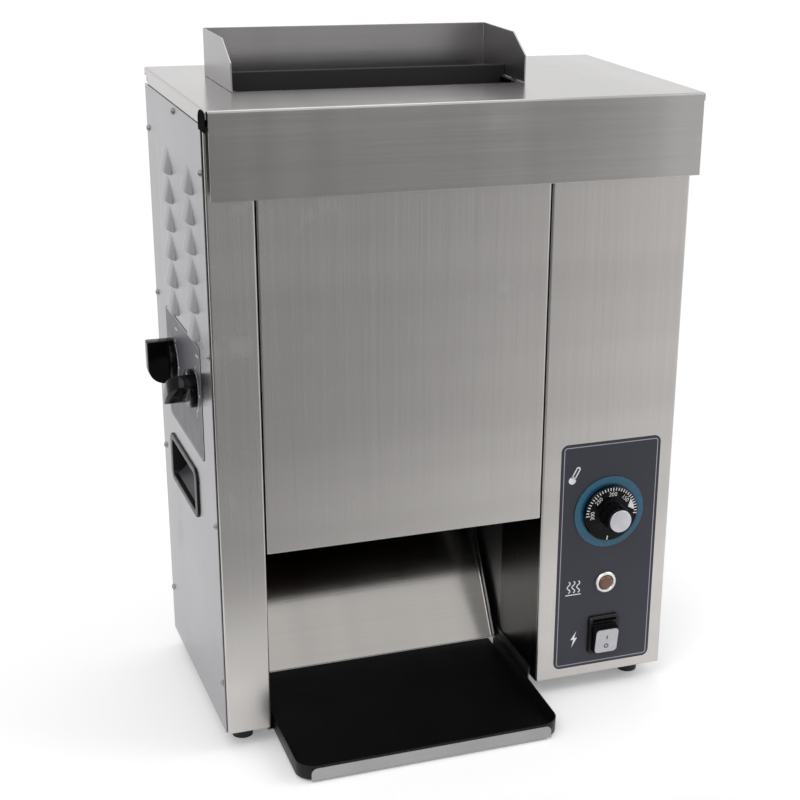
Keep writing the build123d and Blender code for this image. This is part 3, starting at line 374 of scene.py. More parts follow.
platenCoating = nonStickCoating("platenCoating", (0.03, 0.028, 0.026, 1), 0.5)
knobPlastic = mouldedPlastic("knobPlastic", screenColour(6, 6, 8), 0.13, 0.02, shine=0.12)
blackPlastic = mouldedPlastic("blackPlastic", screenColour(12, 12, 14), 0.28, 0.08, shine=0.3)
handlePlastic = mouldedPlastic("handlePlastic", screenColour(17, 17, 19), 0.34, 0.2, shine=0.25)
# the cups' black plastic painted pale grey: painted light on the lit slope
gripPlastic = mouldedPlastic("gripPlastic", screenColour(66, 65, 70), 0.42, 0.2, shine=0.3)
palePlastic = mouldedPlastic("palePlastic", screenColour(186, 185, 190), 0.35, 0.05)
ceramicBody = mouldedPlastic("ceramicBody", (0.72, 0.7, 0.64, 1), 0.5, 0.2)
footRubber = mouldedPlastic("footRubber", screenColour(26, 26, 27), 0.7, 0.5)
beltRubber = mouldedPlastic("beltRubber", (0.16, 0.055, 0.035, 1), 0.6, 0.3)
motorPaint = mouldedPlastic("motorPaint", (0.05, 0.055, 0.06, 1), 0.35, 0.2)
ringPaint = mouldedPlastic("dialRingPaint", screenColour(12, 82, 110), 0.25, 0.02, 0.2)
lensPlastic = mouldedPlastic("lensPlastic", screenColour(112, 78, 62), 0.18, 0.02)
whiteInk = mouldedPlastic("whiteInk", screenColour(226, 226, 230), 0.5, 0.02, 0.0, 0.0001)
# a flat black for painted shade in openings
slotDark = mouldedPlastic("slotDark", screenColour(8, 8, 9), 0.9, 0.05, 0.0, 0.0001, shine=0.02)
greyInk = mouldedPlastic("greyInk", screenColour(36, 36, 40), 0.5, 0.02, 0.0, 0.0001)

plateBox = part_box("control_plate")
panelFilm = printedFilm(
    "controlFilm",
    screenColour(48, 48, 59),
    screenColour(16, 16, 20),
    0.36,
    plate=plateBox,
    axesUsed=(0, 2),
    corner=0.006,
    lines=((0.0032, 0.0004, screenColour(176, 176, 184)),),
)
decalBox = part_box("knob_plate")
sideFilm = printedFilm(
    "sideDecalFilm",
    screenColour(82, 82, 88),
    screenColour(52, 52, 57),
    0.4,
    plate=decalBox,
    axesUsed=(1, 2),
    corner=0.006,
    lines=(
        (0.0022, 0.0005, screenColour(150, 150, 156)),
        (0.0040, 0.0006, screenColour(58, 58, 63)),
    ),
)

nodeFinish = {
    steelFront: "left_column right_column front_cover",
    steelLip: "top_cover",
    steelGuard: "feed_guard",
    steelSideShaded: "left_panel right_panel rear_panel",
    steelChute: "discharge_chute",
    steelTray: "tray_front_lip",
    steelInner: "base_pan left_side_plate right_side_plate top_rails feed_guides tray_ledges "
    "front_frame rear_frame front_backing_plate rear_backing_plate",
    steelTurned: "platen_pins motor_posts heating_elements front_cam_shaft rear_cam_shaft "
    "thermostat_spindle front_gear rear_gear motor_pinion",
    rollerMetal: "front_drive_roller rear_drive_roller front_idler_roller rear_idler_roller",
    bushBronze: "shaft_bushes",
    screwPlate: "panel_screws",
    capMetal: "dial_cap",
    bezelMetal: "lamp_bezel",
    blackCoating: "output_tray",
    dividerCoating: "feed_divider",
    platenCoating: "platen",
    knobPlastic: "front_compression_knob rear_compression_knob thermostat_dial",
    blackPlastic: "lamp_holder switch_housing power_rocker cord_gland",
    handlePlastic: "left_handle right_handle",
    palePlastic: "rocker_face",
    ceramicBody: "thermostat_body terminal_block",
    footRubber: "rubber_feet",
    beltRubber: "front_belt rear_belt",
    motorPaint: "gear_motor",
    panelFilm: "control_plate",
    sideFilm: "knob_plate",
    ringPaint: "dial_ring",
    lensPlastic: "lamp_lens",
}
for finish, names in nodeFinish.items():
    for name in names.split():
        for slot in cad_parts[name].material_slots:
            slot.material = finish
print("finishes given:", len(nodeFinish))


def settle(name, mesh, body, finish=None, stands=(), smoothAngle=40, flatFaces=0):
    piece = bpy.data.objects.new(name, mesh)
    scene.collection.objects.link(piece)
    if finish is not None:
        mesh.materials.clear()
        mesh.materials.append(finish)
    mesh.polygons.foreach_set("use_smooth", [i >= flatFaces for i in range(len(mesh.polygons))])
    mesh.set_sharp_from_angle(angle=radians(smoothAngle))
    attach(piece, body)
    if stands:
        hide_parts(*stands)
    return piece


def toMesh(work, name):
    mesh = bpy.data.meshes.new(name)
    work.normal_update()
    work.to_mesh(mesh)
    work.free()
    if "custom_normal" in mesh.attributes:  # the imported normals no longer fit the changed faces
        mesh.attributes.remove(mesh.attributes["custom_normal"])
    return mesh


# soft pressed scoops in rows on a thin field, laid over a flat sheet
scoopSizes = {
    "Columns": 2,
    "Rows": 6,
    "Spread": 0.09,
    "Pitch": 0.0265,
    "Half width": 0.019,
    "Length": 0.0235,
    "Mouth": 0.0016,
    "Rise": 0.0053,
}
scoops = Growth("pressedScoops", scoopSizes)
fieldWide = scoops.size("Columns") * scoops.size("Spread")
fieldHigh = scoops.size("Rows") * scoops.size("Pitch")
field = scoops.add(
    "GeometryNodeMeshGrid",
    inputs={
        "Size X": fieldWide,
        "Size Y": fieldHigh,
        "Vertices X": scoops.size("Columns") * 64 + 1,
        "Vertices Y": scoops.size("Rows") * 32 + 1,
    },
)
spot = scoops.add("GeometryNodeInputPosition")
alongX = scoops.add("ShaderNodeSeparateXYZ", inputs={0: spot}, output=0)
alongY = scoops.add("ShaderNodeSeparateXYZ", inputs={0: spot}, output=1)
cellX = (((alongX + fieldWide * 0.5) / scoops.size("Spread")).part() - 0.5) * scoops.size("Spread")
cellY = ((alongY + fieldHigh * 0.5) / scoops.size("Pitch")).part() * scoops.size("Pitch")
upward = (cellY - scoops.size("Mouth")) / scoops.size("Length")
lipRise = ((cellY - scoops.size("Mouth") * 0.55) / (scoops.size("Mouth") * 0.6)).kept()
taper = (1.0 - upward.most(0.0)).kept()
sideways = (abs(cellX) / (scoops.size("Half width") * (0.35 + taper.root() * 0.65))).least(1.0)
swell = 1.0 - sideways ** 4.0
height = swell * taper * lipRise * scoops.size("Rise")
border = (fieldWide * 0.5 - abs(alongX)).least(fieldHigh * 0.5 - abs(alongY))
height = height - (1.0 - (border / 0.006).kept()) * 0.0002  # the field's edge sinks into the sheet
lift = scoops.add("ShaderNodeCombineXYZ", inputs={2: height})
shaped = scoops.add("GeometryNodeSetPosition", inputs={"Geometry": field, "Offset": lift})
scoops.close(shaped)


def placeBy(origin, across, outward):
    across, outward = Vector(across), Vector(outward)
    upwards = outward.cross(across)
    turn = Matrix((across, upwards, outward)).transposed().to_4x4()
    return Matrix.Translation(Vector(origin)) @ turn


def louvred(name, node, axis, side, level, field, sizes):
    work = bmesh.new()
    work.from_mesh(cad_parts[node].data)
    bmesh.ops.remove_doubles(work, verts=work.verts, dist=2e-6)
    for vert in work.verts:  # the sheet itself stays flat under its scoops
        vert.co[axis] = side * min(side * vert.co[axis], side * level)
    sheetFaces = len(work.faces)
    patch = scoops.grow(bpy.data.meshes.new("blank"), dict(sizes, Finish=steelSideShaded))
    patch.transform(field)
    work.from_mesh(patch)
    return settle(name, toMesh(work, name), "cabinet", steelSideShaded, (node,), 60, sheetFaces)


leftFace, rightFace, backFace, frontFace = -0.21975, 0.24025, 0.15786, -0.08614
louvres = {"proud": 0.00015, "setBack": 0.066, "sideLow": 0.3929, "rearLow": 0.3679}
rearSizes = dict(scoopSizes, Columns=4, Rows=5, Spread=0.086)
sideY = frontFace + louvres["setBack"] + scoopSizes["Spread"] / 2
sideZ = louvres["sideLow"] + scoopSizes["Pitch"] * scoopSizes["Rows"] / 2
rearZ = louvres["rearLow"] + rearSizes["Pitch"] * rearSizes["Rows"] / 2
for name, node, side, face in (
    ("leftLouvredPanel", "left_panel", -1, leftFace),
    ("rightLouvredPanel", "right_panel", 1, rightFace),
):
    field = placeBy((face + side * louvres["proud"], sideY, sideZ), (0, side, 0), (side, 0, 0))
    louvred(name, node, 0, side, face, field, scoopSizes)
field = placeBy((0, backFace + louvres["proud"], rearZ), (-1, 0, 0), (0, 1, 0))
louvred("rearLouvredPanel", "rear_panel", 1, 1, backFace, field, rearSizes)
print("louvred panels made")

# button-head screws with a cross recess
screwSizes = {
    "radius": 0.0036,
    "height": 0.0022,
    "crown": 2.6,
    "steps": 9,
    "around": 32,
    "armEvery": 8,
    "arm": 0.58,
    "recess": 0.0012,
    "armFall": 0.6,
}
headWork = bmesh.new()
rings = []
for step in range(screwSizes["steps"] + 1):
    share = step / screwSizes["steps"]
    ring = []
    for turn in range(screwSizes["around"]):
        angle = 2 * pi * turn / screwSizes["around"]
        radius = screwSizes["radius"] * share
        lift = screwSizes["height"] * (1 - share ** screwSizes["crown"])
        if turn % screwSizes["armEvery"] == 0 and 0 < share < screwSizes["arm"]:
            lift -= screwSizes["recess"] * (1 - share * screwSizes["armFall"])
        if step == 0:
            lift -= screwSizes["recess"]
        ring.append(headWork.verts.new((radius * cos(angle), radius * sin(angle), lift)))
    rings.append(ring)
for inner, outer in zip(rings, rings[1:]):
    for turn in range(screwSizes["around"]):
        after = (turn + 1) % screwSizes["around"]
        headWork.faces.new((inner[turn], outer[turn], outer[after], inner[after]))
bmesh.ops.remove_doubles(headWork, verts=headWork.verts, dist=1e-7)
screwHead = bpy.data.objects.new("screwHead", toMesh(headWork, "screwHead"))
screwRows = Growth("screwRows", {"Facing": (0.0, 0.0, 0.0)}, shapes=("Head",))
headShape = screwRows.add(
    "GeometryNodeObjectInfo",
    {"transform_space": "ORIGINAL"},
    {"Object": screwRows.size("Head")},
    "Geometry",
)
spinEach = screwRows.add(
    "FunctionNodeRandomValue", {"data_type": "FLOAT"}, {"Max": 1.5, "Seed": 7}, output=1
)
turnEach = screwRows.add("ShaderNodeCombineXYZ", inputs={2: spinEach})
placed = screwRows.add(
    "GeometryNodeInstanceOnPoints",
    inputs={
        "Points": screwRows.size("Geometry"),
        "Instance": headShape,
        "Rotation": screwRows.size("Facing"),
    },
)
spun = screwRows.add(
    "GeometryNodeRotateInstances", inputs={"Instances": placed, "Rotation": turnEach}
)
screwRows.close(spun)
screwPlaces = {
    "low": 0.07,
    "pitch": 0.161,
    "rows": 4,
    "sideY": (-0.07514, 0.15086),
    "sideTop": (0.02836, 0.588),
    "rearX": (-0.18525, 0.10805),
}
levels = [screwPlaces["low"] + screwPlaces["pitch"] * row for row in range(screwPlaces["rows"])]
sideSpots = [(y, z) for y in screwPlaces["sideY"] for z in levels] + [screwPlaces["sideTop"]]
rearSpots = [(x, z) for x in screwPlaces["rearX"] for z in levels]
screwGroups = (
    ([(leftFace, y, z) for y, z in sideSpots], (0.0, -pi / 2, 0.0)),
    ([(rightFace, y, z) for y, z in sideSpots], (0.0, pi / 2, 0.0)),
    ([(x, backFace, z) for x, z in rearSpots], (-pi / 2, 0.0, 0.0)),
)
screwWork = bmesh.new()
for spots, facing in screwGroups:
    dots = bpy.data.meshes.new("dots")
    dots.from_pydata(spots, [], [])
    values = {"Head": screwHead, "Facing": facing, "Finish": screwPlate}
    screwWork.from_mesh(screwRows.grow(dots, values))
screwMesh = toMesh(screwWork, "panelScrewHeads")
settle("panelScrewHeads", screwMesh, "cabinet", screwPlate, ("panel_screws",), 35)
bpy.data.objects.remove(screwHead)
print("screws made")


# flat print: an outline on a plate, a few hundredths of a millimetre thick
def stamp(work, outline, matrix, thick=0.00008):
    corners = [work.verts.new(matrix @ Vector((u, v, 0))) for u, v in outline]
    face = work.faces.new(corners)
    grown = bmesh.ops.extrude_face_region(work, geom=[face])
    outward = (matrix.to_3x3() @ Vector((0, 0, 1))).normalized() * thick
    moved = [v for v in grown["geom"] if isinstance(v, bmesh.types.BMVert)]
    bmesh.ops.translate(work, verts=moved, vec=outward)


def strip(path, width):  # the outline of a line of even width along a path
    left, right = [], []
    for i, (u, v) in enumerate(path):
        before, after = Vector(path[max(0, i - 1)]), Vector(path[min(len(path) - 1, i + 1)])
        run = (after - before).normalized()
        left.append((u - run.y * width / 2, v + run.x * width / 2))
        right.append((u + run.y * width / 2, v - run.x * width / 2))
    return left + right[::-1]


def words(work, text, size, matrix, thick=0.00008):
    curve = bpy.data.curves.new("words", "FONT")
    curve.body = text
    curve.size = size
    curve.align_x, curve.align_y = "CENTER", "CENTER"
    curve.extrude = thick / 2
    holder = bpy.data.objects.new("words", curve)
    scene.collection.objects.link(holder)
    graph = bpy.context.evaluated_depsgraph_get()
    flat = bpy.data.meshes.new_from_object(holder.evaluated_get(graph))
    bpy.data.objects.remove(holder)
    flat.transform(matrix)
    work.from_mesh(flat)


def finishPrint(work, name, body, finish):
    bmesh.ops.remove_doubles(work, verts=work.verts, dist=1e-7)
    bmesh.ops.recalc_face_normals(work, faces=work.faces)
    return settle(name, toMesh(work, name), body, finish, smoothAngle=20)


def arcPoint(radius, angle):
    return radius * cos(radians(angle)), radius * sin(radians(angle))


def arcRun(radius, start, end, step, height=0.0):  # points round a circle, in degrees
    run = [arcPoint(radius, angle) for angle in range(start, end, step)]
    return [(u, height + v) for u, v in run]


# pictograms beside the controls: place on the plate, size and lean
signs = {
    "middle": (0.17175, 0.152),
    "thermometer": (-0.0385, 0.0895, 0.0092, -28),
    "heat": (-0.0350, -0.0325, 0.0085, 0),
    "bolt": (-0.0322, -0.0905, 0.0074, 0),
}
plateMatrix = placeBy(
    (signs["middle"][0], plateBox[0][1], signs["middle"][1]), (1, 0, 0), (0, -1, 0)
)


def signPlace(key):
    u, v, size, lean = signs[key]
    turn = Matrix.Rotation(radians(lean), 4, "Z")
    return plateMatrix @ Matrix.Translation((u, v, 0)) @ turn, size


ink = bmesh.new()
place, size = signPlace("thermometer")
# its parts as shares of its size
glass = {"bulb": 0.42, "bulbLow": -0.62, "tube": 0.26, "top": 0.8, "bore": 0.12, "boreTop": 0.78}
glass = {key: size * share for key, share in glass.items()}
foot = -size * 0.4
stamp(ink, arcRun(glass["bulb"], 0, 360, 15, glass["bulbLow"]), place)
tube = arcRun(glass["tube"], 0, 181, 20, glass["top"])
tube += [(-glass["tube"], foot), (-glass["bore"], foot)]
tube += arcRun(glass["bore"], 180, -1, -20, glass["boreTop"])
tube += [(glass["bore"], foot), (glass["tube"], foot)]
stamp(ink, tube, place)
place, size = signPlace("heat")
waves = {
    "shifts": (-0.62, 0.0, 0.62),
    "swing": 0.2,
    "rise": 1.5,
    "low": 0.6,
    "line": 0.13,
    "bar": 0.85,
    "barLine": 0.12,
}
for shift in waves["shifts"]:
    wave = []
    for point in range(13):
        share = point / 12
        swung = shift + waves["swing"] * sin(share * 3 * pi)
        wave.append((size * swung, size * (share * waves["rise"] - waves["low"])))
    stamp(ink, strip(wave, size * waves["line"]), place)
barLow = -size * waves["bar"]
stamp(ink, strip([(-size, barLow), (size, barLow)], size * waves["barLine"]), place)
place, size = signPlace("bolt")
bolt = [(0.35, 1.2), (-0.5, -0.05), (-0.06, 0.0), (-0.3, -1.2), (0.5, 0.22), (0.06, 0.2)]
stamp(ink, [(size * a, size * b) for a, b in bolt], place)
finishPrint(ink, "controlSigns", "cabinet", whiteInk)

# dial skirt: ticks and numbers round the rim, the pale wedge and the pointer mark
dial = {
    "x": 0.17175,
    "z": 0.199,
    "cap": 0.0245,
    "gap": 0.00002,
    "rim": 0.0277,
    "tick": 0.0031,
    "tickLine": 0.0010,
    "ticks": 29,
    "pitch": 6.6,
    "longEvery": 7,
    "longer": 1.25,
    "numbers": 0.0205,
    "figure": 0.0060,
    "figures": (("300", 180), ("250", 134), ("200", 88), ("150", 46)),
    "wedge": ((0.0185, 17), (0.0245, 34), (0.0245, 24), (0.0247, 14), (0.0245, 4)),
    "pointer": 262,
    "pointerFrom": 0.0235,
    "pointerLine": 0.0011,
}
skirtFace = min(
    v.co.y
    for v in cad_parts["thermostat_dial"].data.vertices
    if (v.co.x - dial["x"]) ** 2 + (v.co.z - dial["z"]) ** 2 > dial["cap"] ** 2
)
dialMatrix = placeBy((dial["x"], skirtFace - dial["gap"], dial["z"]), (1, 0, 0), (0, -1, 0))
ink = bmesh.new()
for step in range(dial["ticks"]):
    angle = 180 - step * dial["pitch"]
    long = dial["tick"] * (dial["longer"] if step % dial["longEvery"] == 0 else 1.0)
    tick = [arcPoint(dial["rim"] - long, angle), arcPoint(dial["rim"], angle)]
    stamp(ink, strip(tick, dial["tickLine"]), dialMatrix)
for figure, angle in dial["figures"]:
    turn = Matrix.Rotation(radians(angle - 90), 4, "Z")
    place = Matrix.Translation((*arcPoint(dial["numbers"], angle), 0)) @ turn
    words(ink, figure, dial["figure"], dialMatrix @ place)
stamp(ink, [arcPoint(radius, angle) for radius, angle in dial["wedge"]], dialMatrix)
pointer = [arcPoint(radius, dial["pointer"]) for radius in (dial["pointerFrom"], dial["rim"])]
stamp(ink, strip(pointer, dial["pointerLine"]), dialMatrix)
finishPrint(ink, "dialMarks", "thermostat_knob", whiteInk)

# rocker: a bar above a ring
rocker = {
    "bar": (0.0022, 0.0066),
    "barLine": 0.0012,
    "ring": 0.0021,
    "ringDrop": 0.0058,
    "ringLine": 0.0011,
}
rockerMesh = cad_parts["rocker_face"].data
frontNormal = Vector((0, 0, 0))
for face in rockerMesh.polygons:
    if face.normal.y < -0.9:
        frontNormal += face.normal * face.area
frontNormal.normalize()
low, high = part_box("rocker_face")
level = max(v.co.dot(frontNormal) for v in rockerMesh.vertices)
middle = (Vector(low) + Vector(high)) / 2
middle += frontNormal * (level - middle.dot(frontNormal))
rockerMatrix = placeBy(middle, (1, 0, 0), frontNormal)
ink = bmesh.new()
stamp(ink, strip([(0, v) for v in rocker["bar"]], rocker["barLine"]), rockerMatrix)
ring = arcRun(rocker["ring"], -90, 271, 15, -rocker["ringDrop"])
stamp(ink, strip(ring, rocker["ringLine"]), rockerMatrix)
finishPrint(ink, "rockerMarks", "power_switch", greyInk)

# knob plate: an arc and three ticks in front of each knob
knobScale = {
    "z": 0.342,
    "gap": 0.00002,
    "arc": 0.0228,
    "arcLine": 0.0011,
    "sweep": 62,
    "tick": (0.0236, 0.0282),
    "tickLine": 0.0012,
    "bar": (0.016, 0.026, 0.036, 0.0375),
}
for name, axisY in (("frontKnobScale", -0.00614), ("rearKnobScale", 0.08386)):
    ink = bmesh.new()
    origin = (decalBox[0][0] - knobScale["gap"], axisY, knobScale["z"])
    place = placeBy(origin, (0, -1, 0), (-1, 0, 0))
    sweep = knobScale["sweep"]
    stamp(ink, strip(arcRun(knobScale["arc"], -sweep, sweep + 1, 6), knobScale["arcLine"]), place)
    for angle in (-sweep, 0, sweep):
        tick = [arcPoint(radius, angle) for radius in knobScale["tick"]]
        stamp(ink, strip(tick, knobScale["tickLine"]), place)
    near, far, low, high = knobScale["bar"]
    stamp(ink, [(near, low), (far, low), (far, high), (near, high)], place)
    finishPrint(ink, name, "cabinet", whiteInk)

# a dark sheet painted as the shade inside the fold's open end beside the front lip
foldShadePatch = {
    "y": -0.0908,
    "z": 0.6,
    "gap": 0.00002,
    "half": 0.0132,
    "dome": 0.0082,
    "low": 0.0095,
    "thick": 0.0006,
}
ink = bmesh.new()
origin = (leftFace - foldShadePatch["gap"], foldShadePatch["y"], foldShadePatch["z"])
place = placeBy(origin, (0, -1, 0), (-1, 0, 0))
half, low = foldShadePatch["half"], foldShadePatch["low"]
dome = [(half * cos(radians(a)), foldShadePatch["dome"] * sin(radians(a))) for a in range(0, 181, 15)]
outline = [(half, -low)] + dome + [(-half, -low)]
stamp(ink, outline, place, foldShadePatch["thick"])
finishPrint(ink, "leftFoldPlug", "cabinet", slotDark)
print("marks printed")

# the chute's smooth slide sheet with its turned-up edges and tie studs
chute = {
    "foot": (0.0206, 0.0216),
    "top": (0.1240, 0.1800),
    "left": -0.1705,
    "right": 0.0933,
    "edge": 0.006,
    "sheet": 0.0012,
    "bend": 0.002,
    "studs": (0.78, 0.95),
    "studRadius": 0.004,
    "studReach": 0.0073,
}
run = Vector((0, chute["top"][0] - chute["foot"][0], chute["top"][1] - chute["foot"][1]))
slideLength = run.length
run.normalize()
outOf = Vector((1, 0, 0)).cross(run)
chuteMatrix = Matrix((Vector((1, 0, 0)), run, outOf)).transposed().to_4x4()
chuteMatrix.translation = Vector((0, *chute["foot"]))
section = [(chute["left"], chute["edge"]), (chute["left"], chute["bend"])]
for eighth in range(1, 4):
    angle = eighth * pi / 8
    u = chute["left"] + chute["bend"] * (1 - cos(angle))
    section.append((u, chute["bend"] * (1 - sin(angle))))
section += [(chute["left"] + chute["bend"], 0.0)]
mirrored = [(chute["left"] + chute["right"] - u, v) for u, v in reversed(section)]
work = bmesh.new()
rows = []
for part in range(13):
    along = slideLength * part / 12
    places = [chuteMatrix @ Vector((u, along, v)) for u, v in section + mirrored]
    rows.append([work.verts.new(place) for place in places])
for first, second in zip(rows, rows[1:]):
    for i in range(len(first) - 1):
        work.faces.new((first[i], first[i + 1], second[i + 1], second[i]))
work.normal_update()
bmesh.ops.solidify(work, geom=work.faces[:], thickness=chute["sheet"])
for share in chute["studs"]:
    for edge, side in ((chute["left"], -1), (chute["right"], 1)):
        outwards = edge + side * chute["studReach"] / 2
        centre = chuteMatrix @ Vector((outwards, slideLength * share, 0.0))
        bmesh.ops.create_cone(
            work,
            cap_ends=True,
            segments=24,
            radius1=chute["studRadius"],
            radius2=chute["studRadius"],
            depth=chute["studReach"],
            matrix=Matrix.Translation(centre) @ Matrix.Rotation(pi / 2, 4, "Y"),
        )
bmesh.ops.recalc_face_normals(work, faces=work.faces)
slideMesh = toMesh(work, "dischargeSlide")
settle(
    "dischargeSlide", slideMesh, "cabinet", steelChute, ("discharge_chute",), 30
)


# a moulded or cast piece with its corners rounded off
def roundedCopy(name, node, body, width, finish, segments=3, angle=30, corners=None):
    work = bmesh.new()
    work.from_mesh(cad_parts[node].data)
    bmesh.ops.remove_doubles(work, verts=work.verts, dist=2e-6)
    bmesh.ops.dissolve_limit(work, angle_limit=radians(0.6), verts=work.verts, edges=work.edges)
    if corners is not None:  # the upright corner edges before this place get a larger radius
        limit, tall, radius = corners
        uprights = [
            edge
            for edge in work.edges
            if abs(edge.verts[0].co.z - edge.verts[1].co.z) > tall
            and all(vert.co.y < limit for vert in edge.verts)
        ]
        bmesh.ops.bevel(
            work,
            geom=uprights,
            offset=radius,
            segments=5,
            profile=0.5,
            affect="EDGES",
            clamp_overlap=True,
        )
    shell = bpy.data.objects.new("shell", toMesh(work, "shell"))
    scene.collection.objects.link(shell)
    softener = shell.modifiers.new("soften", "BEVEL")
    softener.width, softener.segments = width, segments
    softener.limit_method, softener.angle_limit = "ANGLE", radians(angle)
    graph = bpy.context.evaluated_depsgraph_get()
    made = bpy.data.meshes.new_from_object(shell.evaluated_get(graph))
    bpy.data.objects.remove(shell)
    return settle(name, made, body, finish, (node,), 35)


rounding = {"wing": 0.0018, "cup": 0.0012, "tray": 0.00025, "dial": 0.0004}
trayCorners = (-0.14, 0.012, 0.0062)  # before this y, taller than this, rounded to this radius
for end in ("front", "rear"):
    roundedCopy(
        end + "WingKnob",
        end + "_compression_knob",
        end + "_compression",
        rounding["wing"],
        knobPlastic,
    )
for side in ("left", "right"):
    roundedCopy(side + "GripCup", side + "_handle", "cabinet", rounding["cup"], handlePlastic)
roundedCopy(
    "roundedTray",
    "output_tray",
    "output_tray",
    rounding["tray"],
    blackCoating,
    segments=2,
    corners=trayCorners,
)
roundedCopy(
    "thermostatKnob",
    "thermostat_dial",
    "thermostat_knob",
    rounding["dial"],
    knobPlastic,
    segments=2,
    angle=40,
)

# the sloping inner wall of each grip cup, painted paler than the cup's black as painted light on
# its upward face
cup = {
    "front": 0.0006,
    "back": 0.1111,
    "low": 0.2152,
    "high": 0.2528,
    "inset": 0.003,
    "deep": 0.0255,
    "steps": 14,
    "sheet": 0.001,
}
for name, node, side, face in (
    ("leftCupSlope", "left_handle", -1, leftFace),
    ("rightCupSlope", "right_handle", 1, rightFace),
):
    work = bmesh.new()
    rows = []
    for step in range(cup["steps"] + 1):
        share = step / cup["steps"]
        inward = cup["inset"] + (cup["deep"] - cup["inset"]) * sin(share * pi / 2) ** 1.3
        z = cup["low"] + (cup["high"] - cup["low"]) * (1 - cos(share * pi / 2)) ** 0.8
        x = face - side * inward
        rows.append([work.verts.new((x, y, z)) for y in (cup["front"], cup["back"])])
    for first, second in zip(rows, rows[1:]):
        work.faces.new((first[0], first[1], second[1], second[0]))
    work.normal_update()
    bmesh.ops.solidify(work, geom=work.faces[:], thickness=cup["sheet"])
    bmesh.ops.recalc_face_normals(work, faces=work.faces)
    settle(name, toMesh(work, name), "cabinet", gripPlastic, (), 40)
print("moulded pieces made")

# camera, floor and light
view = {
    "bearing": -22.52,
    "height": 22.23,
    "roll": 1.55,
    "focal": 1673.4,
    "centre": (506.8, 500.3),
    "frame": 800.0,
    "place": (-0.29165, -1.38279, 0.81656),
    "cabinetCorner": (-0.21975, -0.08614, 0.02),
    "sensor": 36.0,
}
camera = bpy.data.objects.new("productCamera", bpy.data.cameras.new("productCamera"))
scene.collection.objects.link(camera)
camera.data.sensor_width = view["sensor"]
camera.data.lens = view["sensor"] * view["focal"] / view["frame"]
camera.data.shift_x = (view["frame"] / 2 - view["centre"][0]) / view["frame"]
camera.data.shift_y = (view["centre"][1] - view["frame"] / 2) / view["frame"]
bearing, rise, roll = (radians(view[key]) for key in ("bearing", "height", "roll"))
back = Vector((sin(bearing) * cos(rise), -cos(bearing) * cos(rise), sin(rise)))
right = Vector((cos(bearing), sin(bearing), 0))
turned = Matrix.Rotation(roll, 3, back)
right, up = turned @ right, turned @ back.cross(right)
camera.matrix_world = (
    Matrix.Translation(Vector(view["place"]) + Vector(view["cabinetCorner"]))
    @ Matrix((right, up, back)).transposed().to_4x4()
)
scene.camera = camera


lampTarget = (0, 0, 0.3)
lamps = {
    "keyLight": {"place": (-1.2, -1.4, 2.2), "size": (1.4, 1.2), "power": 18},
    "fillLight": {"place": (1.8, -0.6, 1.6), "size": (1.4, 1.4), "power": 12},
    "topLight": {"place": (0.1, 0.5, 2.4), "size": (1.6, 1.2), "power": 8},
}
for name, lamp in lamps.items():
    light = bpy.data.lights.new(name, "AREA")
    light.shape = "RECTANGLE"
    light.size, light.size_y = lamp["size"]
    light.energy = lamp["power"]
    holder = bpy.data.objects.new(name, light)
    scene.collection.objects.link(holder)
    holder.location = lamp["place"]
    away = Vector(lamp["place"]) - Vector(lampTarget)
    holder.rotation_euler = away.to_track_quat("Z", "Y").to_euler()

# the floor is a fine grid round the object with a few wide rows beyond it
floorSizes = {
    "radius": 14.0,
    "shares": (1.0, 0.4, 0.15, 0.06),
    "cell": 0.0125,
    "left": -0.33,
    "columns": 48,
    "front": -0.55,
    "rows": 34,
}
# a shallow dip in front leaves room for the tray, which runs out down a slope
dip = {
    "start": -0.165,
    "bottom": -0.305,
    "end": -0.48,
    "slope": 0.06,
    "left": -0.20,
    "right": 0.125,
    "fade": 0.07,
}


def eased(value, low, high):
    step = min(1.0, max(0.0, (value - low) / (high - low)))
    return step * step * (3 - 2 * step)


def dipDepth(x, y):
    ramp = min(max(0.0, dip["start"] - y), dip["start"] - dip["bottom"]) * dip["slope"]
    leftSide = eased(x, dip["left"] - dip["fade"], dip["left"])
    rightSide = 1 - eased(x, dip["right"], dip["right"] + dip["fade"])
    return ramp * (leftSide * rightSide) * eased(y, dip["end"], dip["bottom"])


def gridLine(start, count):
    reach = [floorSizes["radius"] * share for share in floorSizes["shares"]]
    near = [start + floorSizes["cell"] * i for i in range(count)]
    return [-r for r in reach] + near + reach[::-1]


floorXs = gridLine(floorSizes["left"], floorSizes["columns"])
floorYs = gridLine(floorSizes["front"], floorSizes["rows"])
floorWork = bmesh.new()
floorRows = [[floorWork.verts.new((x, y, -dipDepth(x, y))) for x in floorXs] for y in floorYs]
for first, second in zip(floorRows, floorRows[1:]):
    for i in range(len(first) - 1):
        cell = floorWork.faces.new((first[i], first[i + 1], second[i + 1], second[i]))
        cell.smooth = True
floor = bpy.data.objects.new("studioFloor", toMesh(floorWork, "studioFloor"))
scene.collection.objects.link(floor)

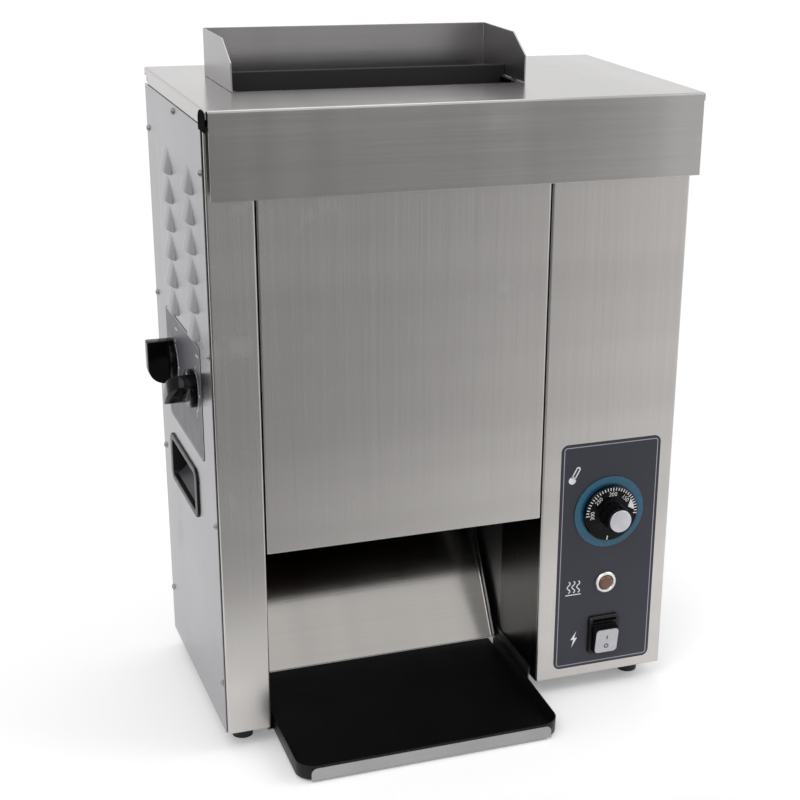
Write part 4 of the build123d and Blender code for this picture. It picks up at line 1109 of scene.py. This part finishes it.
# it is white behind and beside the object, and painted darker in front and darkest far out to the
# left, as painted shade for the steel to reflect; near the object a fifth of the glow brightens it
# as painted light, and far out it glows evenly instead of taking the lamps' light
floorTone = {
    "near": 0.55,
    "far": 1.1,
    "glow": 0.2,
    "paint": 0.97,
    "dim": 0.33,
    "lean": 0.58,
    "leanFrom": 0.88,
    "span": 0.9,
    "soft": 0.4,
    "whiteBehind": (-0.5, -0.2),
    "leftShadeX": (-1.0, -0.75),
    "leftShadeY": (0.05, 0.5),
    "leftShadePatch": 0.8,
}
white, black = (1, 1, 1, 1), (0, 0, 0, 1)
paleFloor = Finish("paleFloor", Roughness=0.9, Specular_IOR_Level=0.1, Emission_Strength=1.0)
floorX, floorY = paleFloor.axes()[:2]
away = (floorX * floorX + floorY * floorY).root().ease(floorTone["near"], floorTone["far"])
slant = floorX + (floorY + floorTone["leanFrom"]) * floorTone["lean"]
steady = (slant / floorTone["span"]).kept() * (1.0 - floorTone["soft"])
tone = slant.ease(0.0, floorTone["span"]) * floorTone["soft"] + steady
tone = tone * (1.0 - floorTone["dim"]) + floorTone["dim"]
level = tone + (1.0 - tone) * floorY.ease(*floorTone["whiteBehind"])
# a patch of painted shade far out to the left, for the steel to reflect
leftShadePatch = (1.0 - floorX.ease(*floorTone["leftShadeX"])) * (1.0 - floorY.ease(*floorTone["leftShadeY"]))
level = level * (1.0 - leftShadePatch * floorTone["leftShadePatch"])
glow = away + (1.0 - away) * floorTone["glow"]
paleFloor.give(
    Base_Color=paleFloor.blend(level * (1.0 - away) * floorTone["paint"], black, white),
    Emission_Color=paleFloor.blend(level * glow, black, white),
)
floor.data.materials.append(paleFloor.material)

ambient = 0.6  # the world's light on the object, beside the full white that is seen
world = bpy.data.worlds.new("studioAir")
scene.world = world
world.use_nodes = True
air = Board(world.node_tree)
seen = air.add("ShaderNodeLightPath", output="Is Camera Ray")
for ray in ("Is Glossy Ray", "Is Transmission Ray"):
    seen = seen.most(air.add("ShaderNodeLightPath", output=ray))
background = air.tree.nodes["Background"]
plug(air.tree, background.inputs["Color"], white)
plug(air.tree, background.inputs["Strength"], seen * (1 - ambient) + ambient)
scene.view_settings.view_transform = "Standard"
print("camera, floor and light set")
